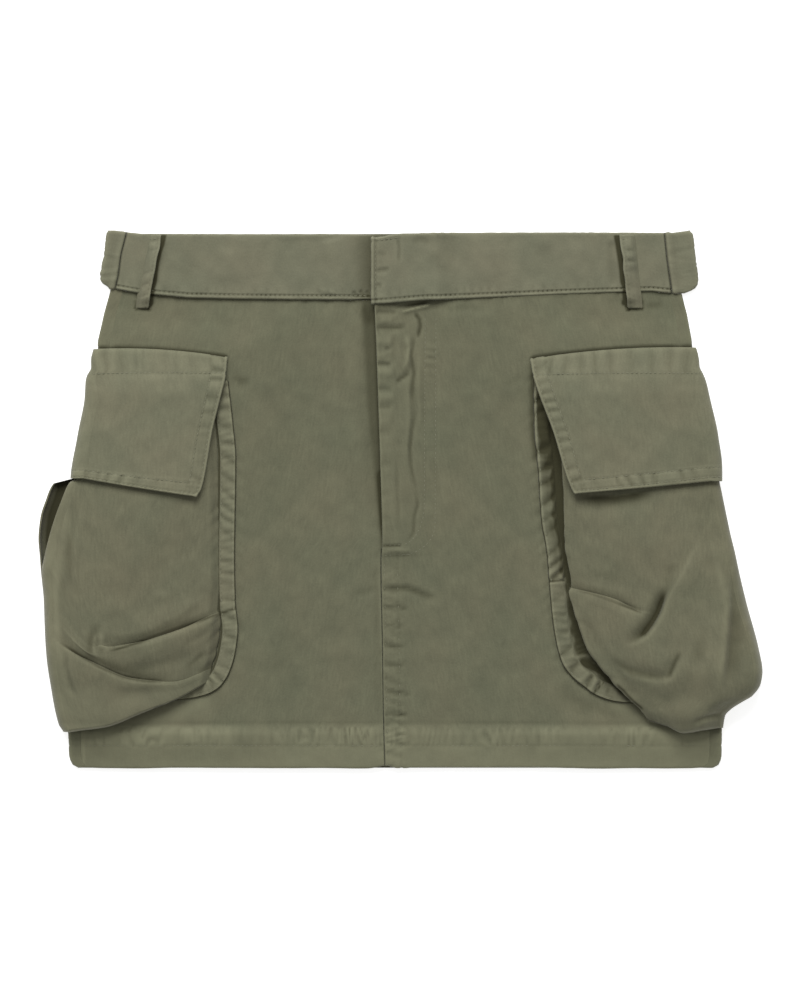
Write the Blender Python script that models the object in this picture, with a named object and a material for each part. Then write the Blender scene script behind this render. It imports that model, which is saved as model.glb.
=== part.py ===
"""A cargo utility skirt, laid flat on its back: each cut piece is one closed cloth wall.

+X runs to the right along the waistband, +Y from hem to waist and +Z up off the surface. The back
panel lies lowest, the front panels lie on it, and the two bellows pockets and their flaps wrap round
the side folds, so that their back halves lie pressed flat underneath. Lengths are in millimetres
down to new_piece(), which turns them into metres.
"""

import math
from collections import namedtuple

import bmesh
import bpy

MM = 0.001

# Cloth: one layer of twill, and the folded stacks that are sewn through.
CLOTH = 1.2
BAND = 2.2
HEM = 2.2
FLAP = 2.0
BINDING = 1.6
LOOP = 1.6
GAP = 0.3

# Body.
HEM_TURN_UP = -146.5
SIDE_SEAM_IN = 8.0
FRONT_PUFF = 1.7
FLY_LAP = CLOTH + GAP
FLY_FOOT = -34.0
FLY_UNDERLAP = 4.0
FLY_LAP_FLAT = 7.0
FLY_LAP_END = 24.0

# The stack of flap and pocket under each side lifts the back panel off the surface.
FLAP_BACK_TOP = FLAP
POCKET_BACK = FLAP_BACK_TOP + GAP
POCKET_LIFT = POCKET_BACK + CLOTH + GAP
LIFT_FROM_X = 66.0
LIFT_FULL_X = 106.0
LIFT_TOP = 97.0
LIFT_FOOT = -150.0
LIFT_RUN_UP = 30.0
LIFT_RUN_DOWN = 25.0

# Pockets and flaps.
POCKET_MOUTH = 66.0
SIDE_ROLL = 6.0
FLAP_AIR = 1.2
GUSSET_WIDTH = 10.8
BACK_EDGE_POCKET = 118.0
BACK_EDGE_FLAP = 122.0
ROLL_STEPS = 3

BodyRow = namedtuple("BodyRow", "y left right")
BODY = (
    BodyRow(-175.0, -209.4, 203.5),
    BodyRow(-172.6, -214.0, 208.0),
    BodyRow(-167.0, -215.4, 209.2),
    BodyRow(-150.0, -215.5, 209.3),
    BodyRow(103.0, -196.4, 189.9),
    BodyRow(120.0, -192.6, 186.8),
    BodyRow(135.0, -188.6, 182.8),
)
BODY_LEVELS = (-175.0, -172.6, -167.0, -158.0, -147.5, -145.5, -130.0, -105.0, -80.0, -55.0,
               -40.0, FLY_FOOT, -26.0, 0.0, 30.0, 60.0, 82.0, LIFT_TOP, 107.0, 117.0)

CentreRow = namedtuple("CentreRow", "y x")
CENTRE_FRONT = (
    CentreRow(-175.0, -9.8),
    CentreRow(-135.0, -10.9),
    CentreRow(-97.0, -11.4),
    CentreRow(-40.0, -12.4),
    CentreRow(-29.0, -11.7),
    CentreRow(23.0, -13.0),
    CentreRow(63.0, -14.3),
    CentreRow(102.0, -15.7),
    CentreRow(130.0, -17.0),
)

# Lower and upper edge of the waistband across the skirt.
WaistRow = namedtuple("WaistRow", "x low top")
WAIST = (
    WaistRow(-185.4, 136.6, 174.6),
    WaistRow(-170.0, 133.7, 172.4),
    WaistRow(-138.0, 130.7, 172.3),
    WaistRow(-106.0, 129.9, 172.2),
    WaistRow(-66.0, 129.5, 172.2),
    WaistRow(-25.0, 129.3, 172.3),
    WaistRow(0.0, 129.2, 172.4),
    WaistRow(24.0, 129.3, 173.0),
    WaistRow(66.0, 131.2, 173.2),
    WaistRow(106.0, 133.0, 173.3),
    WaistRow(138.0, 134.2, 173.2),
    WaistRow(164.0, 135.0, 173.0),
    WaistRow(176.7, 133.6, 173.0),
    WaistRow(190.0, 133.6, 174.8),
)

# The back waistband's two folds and the seams where it meets the front waistband.
WaistEnd = namedtuple("WaistEnd", "share left_fold left_seam right_seam right_fold")
WAIST_ENDS = (
    WaistEnd(0.0, -189.2, -185.4, 176.7, 185.0),
    WaistEnd(0.09, -193.4, -184.7, 176.3, 192.4),
    WaistEnd(0.20, -195.2, -183.6, 175.7, 194.0),
    WaistEnd(0.60, -192.0, -181.3, 173.6, 191.6),
    WaistEnd(1.0, -188.7, -177.8, 172.1, 188.0),
)
OVERLAP_X = -18.5
OVERLAP_DROP = 2.6
UNDERLAP_X = 19.0
BAND_LAP_RISE = 3.7
BAND_LAP_FLAT = 22.0
BAND_LAP_END = 36.0

# The belt loops bow off the band: x of the middle line, height y and rise over what lies below.
LoopRow = namedtuple("LoopRow", "y left right rise")
LOOPS = (
    LoopRow(124.5, -167.6, 152.6, 0.6),
    LoopRow(130.0, -166.7, 152.0, 2.9),
    LoopRow(137.0, -165.7, 151.3, 1.5),
    LoopRow(148.0, -164.0, 150.2, 2.2),
    LoopRow(160.0, -161.8, 149.1, 2.0),
    LoopRow(168.0, -160.2, 148.2, 0.8),
    LoopRow(171.8, -159.4, 147.9, 0.3),
)
LOOP_WIDTH = 9.0

FlyRow = namedtuple("FlyRow", "y left right")
FLY_SHIELD = (
    FlyRow(-41.0, -14.0, -4.0),
    FlyRow(-30.0, -21.0, 10.0),
    FlyRow(-8.0, -25.0, 20.0),
    FlyRow(60.0, -26.0, 23.0),
    FlyRow(127.5, -27.0, 24.0),
)

# Pocket side folds, bottom to top: where the front half ends and how high its seam lies, and where
# the back half's rim lies and how high it stands. They part where the left pocket's mouth gapes.
# roll is how far in from the fold the cloth starts to turn.
SideRow = namedtuple("SideRow", "y x seam rim rim_z roll")
LEFT_SIDE = (
    SideRow(-151.0, -219.0, 7.0, -219.0, 6.7, 4.6),
    SideRow(-146.0, -222.0, 7.5, -222.0, 7.2, SIDE_ROLL),
    SideRow(-121.0, -227.0, 8.5, -227.0, 8.2, SIDE_ROLL),
    SideRow(-101.0, -229.8, 8.5, -229.8, 8.2, SIDE_ROLL),
    SideRow(-82.0, -231.0, 8.5, -231.0, 8.2, SIDE_ROLL),
    SideRow(-65.0, -231.6, 8.5, -231.6, 8.2, SIDE_ROLL),
    SideRow(-48.0, -232.4, 9.0, -232.6, 8.7, SIDE_ROLL),
    SideRow(-37.0, -230.9, 13.0, -234.3, 9.8, SIDE_ROLL),
    SideRow(-26.0, -228.2, 15.0, -235.1, 10.6, SIDE_ROLL),
    SideRow(-12.6, -224.2, 15.5, -233.8, 10.8, SIDE_ROLL),
    SideRow(-1.5, -220.0, 15.5, -230.4, 10.4, SIDE_ROLL),
    SideRow(8.6, -215.3, 14.0, -224.8, 9.6, SIDE_ROLL),
    SideRow(12.2, -211.2, 8.0, -211.4, 7.7, SIDE_ROLL),
    SideRow(40.0, -206.4, 7.2, -206.4, 6.9, SIDE_ROLL),
    SideRow(54.0, -203.8, 6.9, -203.8, 6.6, SIDE_ROLL),
    SideRow(POCKET_MOUTH, -202.2, 6.6, -202.2, 6.3, SIDE_ROLL),
)
RIGHT_SIDE = (
    SideRow(-149.0, 211.4, 7.0, 211.4, 6.7, 2.6),
    SideRow(-141.0, 212.6, 7.5, 212.6, 7.2, 3.6),
    SideRow(-136.5, 215.5, 8.0, 215.5, 7.7, 5.0),
    SideRow(-132.0, 222.5, 8.5, 222.5, 8.2, SIDE_ROLL),
    SideRow(-128.0, 229.0, 9.0, 229.0, 8.7, SIDE_ROLL),
    SideRow(-120.0, 234.4, 9.0, 234.4, 8.7, SIDE_ROLL),
    SideRow(-112.0, 235.6, 9.0, 235.6, 8.7, SIDE_ROLL),
    SideRow(-98.0, 233.3, 9.0, 233.3, 8.7, SIDE_ROLL),
    SideRow(-67.7, 225.2, 9.0, 225.2, 8.7, SIDE_ROLL),
    SideRow(-28.0, 215.9, 8.6, 215.9, 8.3, SIDE_ROLL),
    SideRow(4.0, 209.2, 8.2, 209.2, 7.9, SIDE_ROLL),
    SideRow(10.6, 206.4, 8.0, 206.4, 7.7, SIDE_ROLL),
    SideRow(40.0, 204.9, 7.6, 204.9, 7.3, SIDE_ROLL),
    SideRow(POCKET_MOUTH, 199.2, 7.0, 199.2, 6.7, SIDE_ROLL),
)

# The face's inner edge, bottom to top.
EdgeRow = namedtuple("EdgeRow", "y x")
LEFT_EDGE = (
    EdgeRow(-118.0, -124.4),
    EdgeRow(-109.4, -123.2),
    EdgeRow(-98.0, -119.6),
    EdgeRow(-76.0, -117.2),
    EdgeRow(-54.0, -118.0),
    EdgeRow(-15.0, -118.4),
    EdgeRow(25.0, -119.4),
    EdgeRow(POCKET_MOUTH, -122.0),
)
RIGHT_EDGE = (
    EdgeRow(-144.5, 161.2),
    EdgeRow(-135.3, 154.4),
    EdgeRow(-119.6, 139.5),
    EdgeRow(-110.7, 132.0),
    EdgeRow(-101.8, 124.6),
    EdgeRow(-94.3, 119.3),
    EdgeRow(-84.6, 114.9),
    EdgeRow(-73.4, 112.0),
    EdgeRow(-56.0, 110.5),
    EdgeRow(-28.0, 106.6),
    EdgeRow(0.0, 106.0),
    EdgeRow(POCKET_MOUTH, 102.5),
)

# A face's folds and levels from the mouth down. y0..y4 place the line at its inner edge, quarter,
# half, three quarters and side; h0..h4 give its height over the front panel; strips is how many
# rows of faces lead to the next line.
FaceRow = namedtuple("FaceRow", "y0 y1 y2 y3 y4 h0 h1 h2 h3 h4 strips")
LEFT_FACE = (
    FaceRow(66.0, 66.0, 66.0, 66.0, 66.0, 3.6, 8.2, 9.0, 8.6, 6.6, 2),
    FaceRow(40.0, 40.0, 40.0, 40.0, 40.0, 3.6, 8.8, 10.2, 9.8, 7.8, 2),
    FaceRow(13.0, 13.0, 13.0, 13.0, 13.5, 3.7, 9.0, 11.0, 11.2, 9.4, 3),
    FaceRow(-20.0, -20.0, -20.0, -18.0, -16.0, 3.8, 9.8, 13.0, 13.6, 11.2, 2),
    FaceRow(-50.0, -52.0, -55.0, -53.0, -47.0, 4.0, 10.0, 13.8, 15.0, 12.2, 3),
    FaceRow(-70.5, -84.8, -94.0, -97.0, -78.0, 3.8, 8.8, 11.8, 15.4, 13.2, 1),
    FaceRow(-72.5, -87.2, -96.4, -98.5, -79.5, 6.4, 13.6, 16.6, 16.4, 13.4, 2),
    FaceRow(-98.0, -110.0, -112.6, -100.8, -84.0, 4.6, 10.8, 14.0, 16.8, 14.0, 1),
    FaceRow(-109.4, -118.2, -115.4, -103.2, -87.0, 4.4, 9.8, 12.6, 16.2, 14.0, 1),
    FaceRow(-111.2, -120.0, -117.8, -105.8, -89.4, 4.6, 11.4, 17.6, 20.4, 15.4, 3),
    FaceRow(-116.0, -128.0, -136.2, -144.0, -147.6, 4.4, 9.0, 11.6, 12.0, 9.0, 1),
    FaceRow(-118.0, -131.0, -139.5, -148.0, -151.0, 3.8, 4.2, 4.6, 4.8, 4.4, 0),
)
RIGHT_FACE = (
    FaceRow(66.0, 66.0, 66.0, 66.0, 66.0, 6.4, 8.6, 9.0, 8.2, 6.2, 2),
    FaceRow(40.0, 40.0, 40.0, 40.0, 40.0, 7.2, 9.8, 11.0, 10.2, 8.0, 2),
    FaceRow(8.0, 8.0, 8.0, 8.0, 8.0, 8.2, 11.2, 13.4, 13.2, 10.2, 3),
    FaceRow(-28.0, -28.0, -28.0, -28.0, -28.0, 8.6, 12.2, 15.4, 16.6, 12.4, 3),
    FaceRow(-56.5, -62.5, -66.0, -66.0, -66.0, 8.0, 11.6, 16.0, 19.6, 15.0, 1),
    FaceRow(-59.5, -66.0, -71.0, -71.0, -71.0, 9.4, 14.2, 17.6, 20.6, 15.6, 4),
    FaceRow(-84.6, -90.0, -93.0, -93.0, -93.0, 9.8, 15.6, 20.2, 23.4, 17.6, 2),
    FaceRow(-103.0, -108.0, -111.0, -112.0, -112.0, 9.6, 16.2, 22.0, 25.0, 18.4, 2),
    FaceRow(-122.0, -125.0, -127.0, -127.0, -125.0, 9.0, 14.6, 20.4, 23.4, 16.4, 2),
    FaceRow(-134.0, -138.0, -140.0, -139.0, -136.5, 8.2, 12.2, 16.6, 18.0, 11.6, 1),
    FaceRow(-141.6, -145.6, -149.0, -147.6, -145.4, 6.0, 8.4, 10.2, 9.8, 6.6, 1),
    FaceRow(-144.5, -147.8, -152.4, -150.8, -149.0, 3.8, 4.0, 4.6, 4.4, 4.0, 0),
)
FACE_SHARES = (0.0, 0.05, 0.14, 0.24, 0.34, 0.44, 0.53, 0.62, 0.71, 0.8, 0.9, 1.0)

# Diagonal folds across the right face: the line, its rise (down if negative) and its half width.
FoldRow = namedtuple("FoldRow", "x0 y0 x1 y1 rise width")
RIGHT_FOLDS = (
    FoldRow(173.0, -54.0, 150.0, -92.0, -4.6, 7.5),
    FoldRow(194.0, -34.0, 168.0, -98.0, 2.4, 9.0),
    FoldRow(213.0, -78.0, 206.0, -130.0, -2.6, 7.0),
)
NO_FOLDS = ()

# Flap lines from the top seam down: inner end, side fold, bow of the line at its middle, how high
# the inner end and the line stand over what lies under them, and the side fold's roll.
FlapRow = namedtuple("FlapRow", "x_in y_in x_side y_side bow settle stand roll strips")
LEFT_FLAP = (
    FlapRow(-112.4, 91.9, -199.6, 97.3, 2.2, 0.0, 0.0, 3.5, 1),
    FlapRow(-112.8, 85.5, -202.3, 88.0, 1.2, 0.35, 0.0, 5.0, 1),
    FlapRow(-113.6, 78.5, -204.4, 79.0, 0.4, 0.75, 0.0, 6.6, 1),
    FlapRow(-116.6, 66.0, -205.3, 66.0, 0.0, 1.0, 0.0, 8.9, 2),
    FlapRow(-121.7, 45.0, -209.6, 42.0, 0.0, 1.0, 0.2, 8.9, 3),
    FlapRow(-129.0, 6.4, -214.2, 16.5, -0.4, 1.0, 0.6, 8.9, 1),
    FlapRow(-132.3, 1.4, -214.4, 13.2, -0.4, 1.0, 0.6, 8.9, 0),
)
RIGHT_FLAP = (
    FlapRow(84.9, 90.8, 192.6, 98.3, 2.3, 0.0, 0.0, 3.5, 1),
    FlapRow(85.6, 84.0, 195.6, 88.0, 1.2, 0.35, 0.4, 5.0, 1),
    FlapRow(86.6, 79.0, 198.6, 79.0, 0.4, 0.75, 0.8, 6.6, 1),
    FlapRow(91.0, 66.0, 202.4, 66.0, 0.0, 1.0, 1.2, 8.9, 2),
    FlapRow(99.0, 45.0, 207.8, 42.0, 0.0, 1.0, 2.0, 8.9, 3),
    FlapRow(111.3, 6.4, 209.6, 16.0, -0.3, 1.0, 3.0, 8.9, 1),
    FlapRow(113.4, 3.4, 209.6, 11.4, -0.3, 1.0, 3.0, 8.9, 0),
)
FLAP_SHARES = (0.0, 0.08, 0.2, 0.36, 0.52, 0.68, 0.84, 1.0)

# Gusset edges sewn to the front panel: their outer line, and how far and how high the free side
# rises toward the face.
GussetRow = namedtuple("GussetRow", "x y reach rise")
LEFT_GUSSET = (
    GussetRow(-111.5, 77.0, 1.0, 0.0),
    GussetRow(-108.6, 52.0, 1.0, 0.0),
    GussetRow(-106.4, 26.0, 1.0, 0.0),
    GussetRow(-107.2, -40.0, 1.0, 0.0),
    GussetRow(-106.6, -68.0, 1.0, 0.0),
    GussetRow(-105.0, -84.0, 1.0, 0.0),
    GussetRow(-106.7, -99.5, 1.0, 0.0),
    GussetRow(-110.6, -112.7, 1.0, 0.0),
    GussetRow(-117.0, -122.4, 1.0, 0.0),
    GussetRow(-125.9, -127.6, 1.0, 0.0),
    GussetRow(-139.0, -130.4, 1.0, 0.0),
    GussetRow(-172.0, -133.0, 1.0, 0.0),
    GussetRow(-206.0, -134.0, 1.0, 0.0),
)
RIGHT_GUSSET = (
    GussetRow(86.5, 77.0, 8.0, 2.6),
    GussetRow(86.9, 48.0, 8.5, 3.6),
    GussetRow(89.4, 20.0, 8.5, 4.4),
    GussetRow(91.6, -14.0, 7.0, 4.8),
    GussetRow(95.0, -34.0, 6.0, 4.8),
    GussetRow(96.8, -56.0, 6.0, 4.4),
    GussetRow(98.4, -74.0, 6.0, 4.8),
    GussetRow(100.6, -90.0, 7.0, 4.8),
    GussetRow(104.4, -105.0, 8.0, 4.8),
    GussetRow(110.4, -114.6, 8.0, 4.4),
    GussetRow(118.6, -121.6, 8.0, 4.0),
    GussetRow(127.6, -128.0, 6.0, 2.6),
    GussetRow(141.0, -132.2, 2.0, 0.4),
    GussetRow(172.0, -134.4, 1.0, 0.0),
    GussetRow(202.0, -135.6, 1.0, 0.0),
)

# Base colours of the pieces, as linear RGB, with roughness.
PANEL_COLOUR = (0.147, 0.145, 0.095)
BAND_COLOUR = (0.183, 0.179, 0.122)
POCKET_COLOUR = (0.152, 0.149, 0.100)
EDGE_COLOUR = (0.165, 0.163, 0.111)
ROUGHNESS = 0.85


def smooth(share):
    share = min(max(share, 0.0), 1.0)
    return share * share * (3 - 2 * share)


def curve(places, values, place):
    """A curve through the values that never swings past them (monotone cubic)."""
    if place <= places[0]:
        return values[0]
    if place >= places[-1]:
        return values[-1]
    slopes = [(b - a) / (q - p) for a, b, p, q in zip(values, values[1:], places, places[1:])]
    turns = [slopes[0]]
    for before, after in zip(slopes, slopes[1:]):
        turns.append(2 * before * after / (before + after) if before * after > 0 else 0.0)
    turns.append(slopes[-1])
    index = max(i for i in range(len(places) - 1) if places[i] <= place)
    run = places[index + 1] - places[index]
    t = (place - places[index]) / run
    return (
        values[index] * (1 + 2 * t) * (1 - t) ** 2
        + values[index + 1] * t * t * (3 - 2 * t)
        + run * turns[index] * t * (1 - t) ** 2
        - run * turns[index + 1] * t * t * (1 - t)
    )


def read(table, column, at):
    """One column of a table, read straight between its rows at a place in the first column."""
    rows = [(row[0], getattr(row, column)) for row in table]
    if at <= rows[0][0]:
        return rows[0][1]
    for (low, first), (high, last) in zip(rows, rows[1:]):
        if at <= high:
            return first + (last - first) * (at - low) / (high - low)
    return rows[-1][1]


def lift(x, y):
    """How far the back panel is lifted off the surface by the pocket and flap under it."""
    across = smooth((abs(x) - LIFT_FROM_X) / (LIFT_FULL_X - LIFT_FROM_X))
    above = smooth((y - LIFT_TOP) / LIFT_RUN_UP)
    below = smooth((LIFT_FOOT - y) / LIFT_RUN_DOWN)
    return POCKET_LIFT * across * (1 - above) * (1 - below)


def wall(y):
    """Thickness of the body: the hem is turned up."""
    return CLOTH + (HEM - CLOTH) * smooth((HEM_TURN_UP + 1 - y) / 2)


def puff(x, y):
    """How far the front panels stand off the back panel between the side seams."""
    left = read(BODY, "left", y) + SIDE_SEAM_IN
    right = read(BODY, "right", y) - SIDE_SEAM_IN
    across = min(max((2 * x - left - right) / (right - left), -1), 1)
    return FRONT_PUFF * (1 - across**4) * (0.45 + 0.55 * smooth((y + 175) / 50))


def front_under(x, y):
    return lift(x, y) + wall(y) + GAP + puff(x, y)


def front_top(x, y):
    return front_under(x, y) + wall(y)


def material(name, colour):
    made = bpy.data.materials.new(name)
    made.use_nodes = True
    shader = made.node_tree.nodes["Principled BSDF"]
    shader.inputs["Base Color"].default_value = (*colour, 1.0)
    shader.inputs["Roughness"].default_value = ROUGHNESS
    shader.inputs["Metallic"].default_value = 0.0
    return made


def new_piece(name, colour, outer, inner):
    """A closed wall between two grids of points, both given as rows of (x, y, z)."""
    rows = len(outer)
    columns = len(outer[0])
    mesh = bmesh.new()
    shell = [[[mesh.verts.new([c * MM for c in p]) for p in row] for row in grid] for grid in (outer, inner)]
    for grid in shell:
        for i in range(rows - 1):
            for j in range(columns - 1):
                mesh.faces.new((grid[i][j], grid[i][j + 1], grid[i + 1][j + 1], grid[i + 1][j]))
    rim = [(i, 0) for i in range(rows)]
    rim += [(rows - 1, j) for j in range(1, columns)]
    rim += [(i, columns - 1) for i in range(rows - 2, -1, -1)]
    rim += [(0, j) for j in range(columns - 2, 0, -1)]
    for (i, j), (k, m) in zip(rim, rim[1:] + rim[:1]):
        mesh.faces.new((shell[0][i][j], shell[0][k][m], shell[1][k][m], shell[1][i][j]))
    bmesh.ops.recalc_face_normals(mesh, faces=mesh.faces)
    data = bpy.data.meshes.new(name)
    mesh.to_mesh(data)
    mesh.free()
    data.shade_smooth()
    data.set_sharp_from_angle(angle=math.radians(40))
    data.materials.append(material(name, colour))
    piece = bpy.data.objects.new(name, data)
    bpy.context.scene.collection.objects.link(piece)
    return piece


def roll(centre_x, centre_z, wide, high, from_turn, to_turn, steps, way):
    """Points of a side fold, an arc in the XZ plane: turn 90 is its top and 0 its outermost point."""
    points = []
    for i in range(steps + 1):
        turn = math.radians(from_turn + (to_turn - from_turn) * i / steps)
        points.append((centre_x + way * wide * math.cos(turn), centre_z + high * math.sin(turn)))
    return points


def panel_levels(x):
    """Heights y of a panel's rows at a place across the skirt; the last is under the waistband."""
    return BODY_LEVELS + (read(WAIST, "low", x) - GAP,)


def front_panel(name, columns_at, lap_at):
    """A front panel from its columns: columns_at(y) gives their x, lap_at(x, y) any further rise."""
    outer = []
    inner = []
    for level in range(len(BODY_LEVELS) + 1):
        nominal = panel_levels(0.0)[level]
        places = [(x, panel_levels(x)[level]) for x in columns_at(nominal)]
        inner.append([(x, y, front_under(x, y) + lap_at(x, y)) for x, y in places])
        outer.append([(x, y, front_top(x, y) + lap_at(x, y)) for x, y in places])
    return new_piece(name, PANEL_COLOUR, outer, inner)


SIDE_COLUMNS = (106.0, 96.0, 86.0, 76.0, 66.0)
BACK_FLATS = (-170.0, -138.0) + tuple(-x for x in SIDE_COLUMNS) + (-22.0, 22.0)
BACK_FLATS += SIDE_COLUMNS[::-1] + (138.0, 164.0)


def left_columns(y):
    seam = read(BODY, "left", y) + SIDE_SEAM_IN + GAP
    under = -GAP / 2
    if y > FLY_FOOT + 1:
        under = FLY_UNDERLAP
    centre = read(CENTRE_FRONT, "x", y)
    return (seam, -170.0, -138.0) + tuple(-x for x in SIDE_COLUMNS) + (-45.0, -25.0, centre + under)


def right_columns(y):
    seam = read(BODY, "right", y) - SIDE_SEAM_IN - GAP
    centre = read(CENTRE_FRONT, "x", y)
    fly = (centre + GAP / 2, centre + FLY_LAP_FLAT, centre + FLY_LAP_FLAT + 8, FLY_LAP_END - 8, FLY_LAP_END)
    return fly + (45.0,) + SIDE_COLUMNS[::-1] + (138.0, 164.0, seam)


def no_lap(x, y):
    return 0.0


def fly_lap(x, y):
    """The right front laps over the left down to the foot of the fly."""
    flat = read(CENTRE_FRONT, "x", y) + FLY_LAP_FLAT
    across = 1 - smooth((x - flat) / (FLY_LAP_END - flat))
    return FLY_LAP * across * smooth((y - FLY_FOOT + 5) / 5)


def wrapped_section(y_at, left, right, seam_left, seam_right, thick, flats, base):
    """Outer and inner points of a piece that wraps both side folds up to its front seams.

    y_at(x) is the height of a point, base(x) how far the piece is lifted there.
    """
    radius = thick + GAP / 2
    small = GAP / 2
    outer = []
    inner = []
    for fold, seam, way in ((left, seam_left, -1), (right, seam_right, 1)):
        ground = base(fold)
        centre = fold - way * radius
        middle = ground + radius
        wide = [(seam, ground + 2 * radius)] + roll(centre, middle, radius, radius, 90, -90, 4, way)
        tight = [(seam, middle + small)] + roll(centre, middle, small, small, 90, -90, 4, way)
        if way == 1:
            outer += [(x, base(x)) for x in flats] + wide[::-1]
            inner += [(x, base(x) + thick) for x in flats] + tight[::-1]
        else:
            outer += wide
            inner += tight
    return [(x, y_at(x), z) for x, z in outer], [(x, y_at(x), z) for x, z in inner]


def back_panel():
    outer = []
    inner = []
    for level in range(len(BODY_LEVELS) + 1):
        nominal = panel_levels(0.0)[level]
        left = read(BODY, "left", nominal)
        right = read(BODY, "right", nominal)
        section = wrapped_section(
            lambda x: panel_levels(x)[level],
            left,
            right,
            left + SIDE_SEAM_IN,
            right - SIDE_SEAM_IN,
            wall(nominal),
            BACK_FLATS,
            lambda x: lift(x, panel_levels(x)[level]),
        )
        outer.append(section[0])
        inner.append(section[1])
    return new_piece("back", PANEL_COLOUR, outer, inner)


def fly_shield():
    low = wall(0.0) + GAP
    outer = []
    inner = []
    for row in FLY_SHIELD:
        across = [row.left + (row.right - row.left) * i / 4 for i in range(5)]
        inner.append([(x, row.y, low) for x in across])
        outer.append([(x, row.y, low + CLOTH) for x in across])
    return new_piece("fly_shield", PANEL_COLOUR, outer, inner)


def band_y(x, share):
    return read(WAIST, "low", x) + share * (read(WAIST, "top", x) - read(WAIST, "low", x))


def waistband_back():
    outer = []
    inner = []
    for end in WAIST_ENDS:
        section = wrapped_section(
            lambda x: band_y(x, end.share),
            end.left_fold,
            end.right_fold,
            end.left_seam - GAP / 2,
            end.right_seam + GAP / 2,
            BAND,
            BACK_FLATS,
            lambda x: 0.0,
        )
        outer.append(section[0])
        inner.append(section[1])
    return new_piece("waistband_back", BAND_COLOUR, outer, inner)


def band_lap(x):
    """The right half of the band laps over the left half at the centre front."""
    return BAND_LAP_RISE * (1 - smooth((x - BAND_LAP_FLAT) / (BAND_LAP_END - BAND_LAP_FLAT)))


def front_band(name, places_at, rise_at, drop_at):
    outer = []
    inner = []
    for end in WAIST_ENDS:
        row = [(x, band_y(x, end.share) - drop_at(x) * (1 - end.share)) for x in places_at(end)]
        inner.append([(x, y, BAND + GAP + rise_at(x)) for x, y in row])
        outer.append([(x, y, BAND + GAP + BAND + rise_at(x)) for x, y in row])
    return new_piece(name, BAND_COLOUR, outer, inner)


def waistband_left():
    return front_band(
        "waistband_left",
        lambda end: (end.left_seam + GAP / 2, -170.0, -138.0, -106.0, -66.0, -25.0, 0.0, UNDERLAP_X),
        lambda x: 0.0,
        lambda x: 0.0,
    )


def waistband_right():
    return front_band(
        "waistband_right",
        lambda end: (OVERLAP_X, 2.0, BAND_LAP_FLAT, 27.0, 31.0, BAND_LAP_END, 66.0, 106.0, 138.0, 164.0,
                     end.right_seam - GAP / 2),
        band_lap,
        lambda x: OVERLAP_DROP * (1 - smooth((x - OVERLAP_X) / (BAND_LAP_FLAT - OVERLAP_X))),
    )


def belt_loop(side):
    outer = []
    inner = []
    for row in LOOPS:
        middle = getattr(row, side)
        below = BAND + GAP + BAND
        if row.y < 127:
            below = front_top(middle, row.y)
        across = [middle + LOOP_WIDTH * (i / 2 - 0.5) for i in range(3)]
        inner.append([(x, row.y, below + row.rise) for x in across])
        outer.append([(x, row.y, below + row.rise + LOOP) for x in across])
    return new_piece("belt_loop_" + side, BAND_COLOUR, outer, inner)


def fold_rise(folds, x, y):
    """Rise of the diagonal folds at a point, soft across each line and fading past its ends."""
    total = 0.0
    for fold in folds:
        along_x = fold.x1 - fold.x0
        along_y = fold.y1 - fold.y0
        length = math.hypot(along_x, along_y)
        share = ((x - fold.x0) * along_x + (y - fold.y0) * along_y) / length**2
        share = min(max(share, 0.0), 1.0)
        away = math.hypot(x - fold.x0 - share * along_x, y - fold.y0 - share * along_y)
        total += fold.rise * math.exp(-((away / fold.width) ** 2))
    return total


QUARTERS = (0.0, 0.25, 0.5, 0.75, 1.0)


def face_lines(face):
    """Each line of a face with the lines between, as (five heights y, five heights h)."""
    marks = [0.0]
    for row in face[:-1]:
        marks.append(marks[-1] + row.strips)
    lines = []
    for step in range(int(marks[-1]) + 1):
        values = [curve(marks, [row[c] for row in face], step) for c in range(10)]
        lines.append((values[:5], values[5:]))
    return lines


def side_x(sides, y, way):
    """Where the roll of a pocket's side fold starts."""
    return read(sides, "x", y) - way * read(sides, "roll", y)


def pocket_front(name, face, edge, sides, folds, way):
    outer = []
    inner = []
    for heights_y, heights_h in face_lines(face):
        start = read(edge, "x", heights_y[0])
        stop = side_x(sides, heights_y[4], way)
        top = []
        for share in FACE_SHARES:
            x = start + (stop - start) * share
            y = curve(QUARTERS, heights_y, share)
            h = curve(QUARTERS, heights_h, share)
            inside = smooth(4 * share) * smooth(6 * (1 - share))
            top.append((x, y, front_top(x, y) + h + inside * fold_rise(folds, x, y)))
        seam = read(sides, "seam", heights_y[4])
        wide = read(sides, "roll", heights_y[4])
        high = top[-1][2]
        turn = roll(stop, seam, wide, high - seam, 90, 0, ROLL_STEPS, way)[1:]
        tight = roll(stop, seam, wide - CLOTH, high - CLOTH - seam, 90, 0, ROLL_STEPS, way)[1:]
        outer.append(top + [(x, heights_y[4], z) for x, z in turn])
        inner.append([(x, y, z - CLOTH) for x, y, z in top] + [(x, heights_y[4], z) for x, z in tight])
    return new_piece(name, POCKET_COLOUR, outer, inner)


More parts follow.
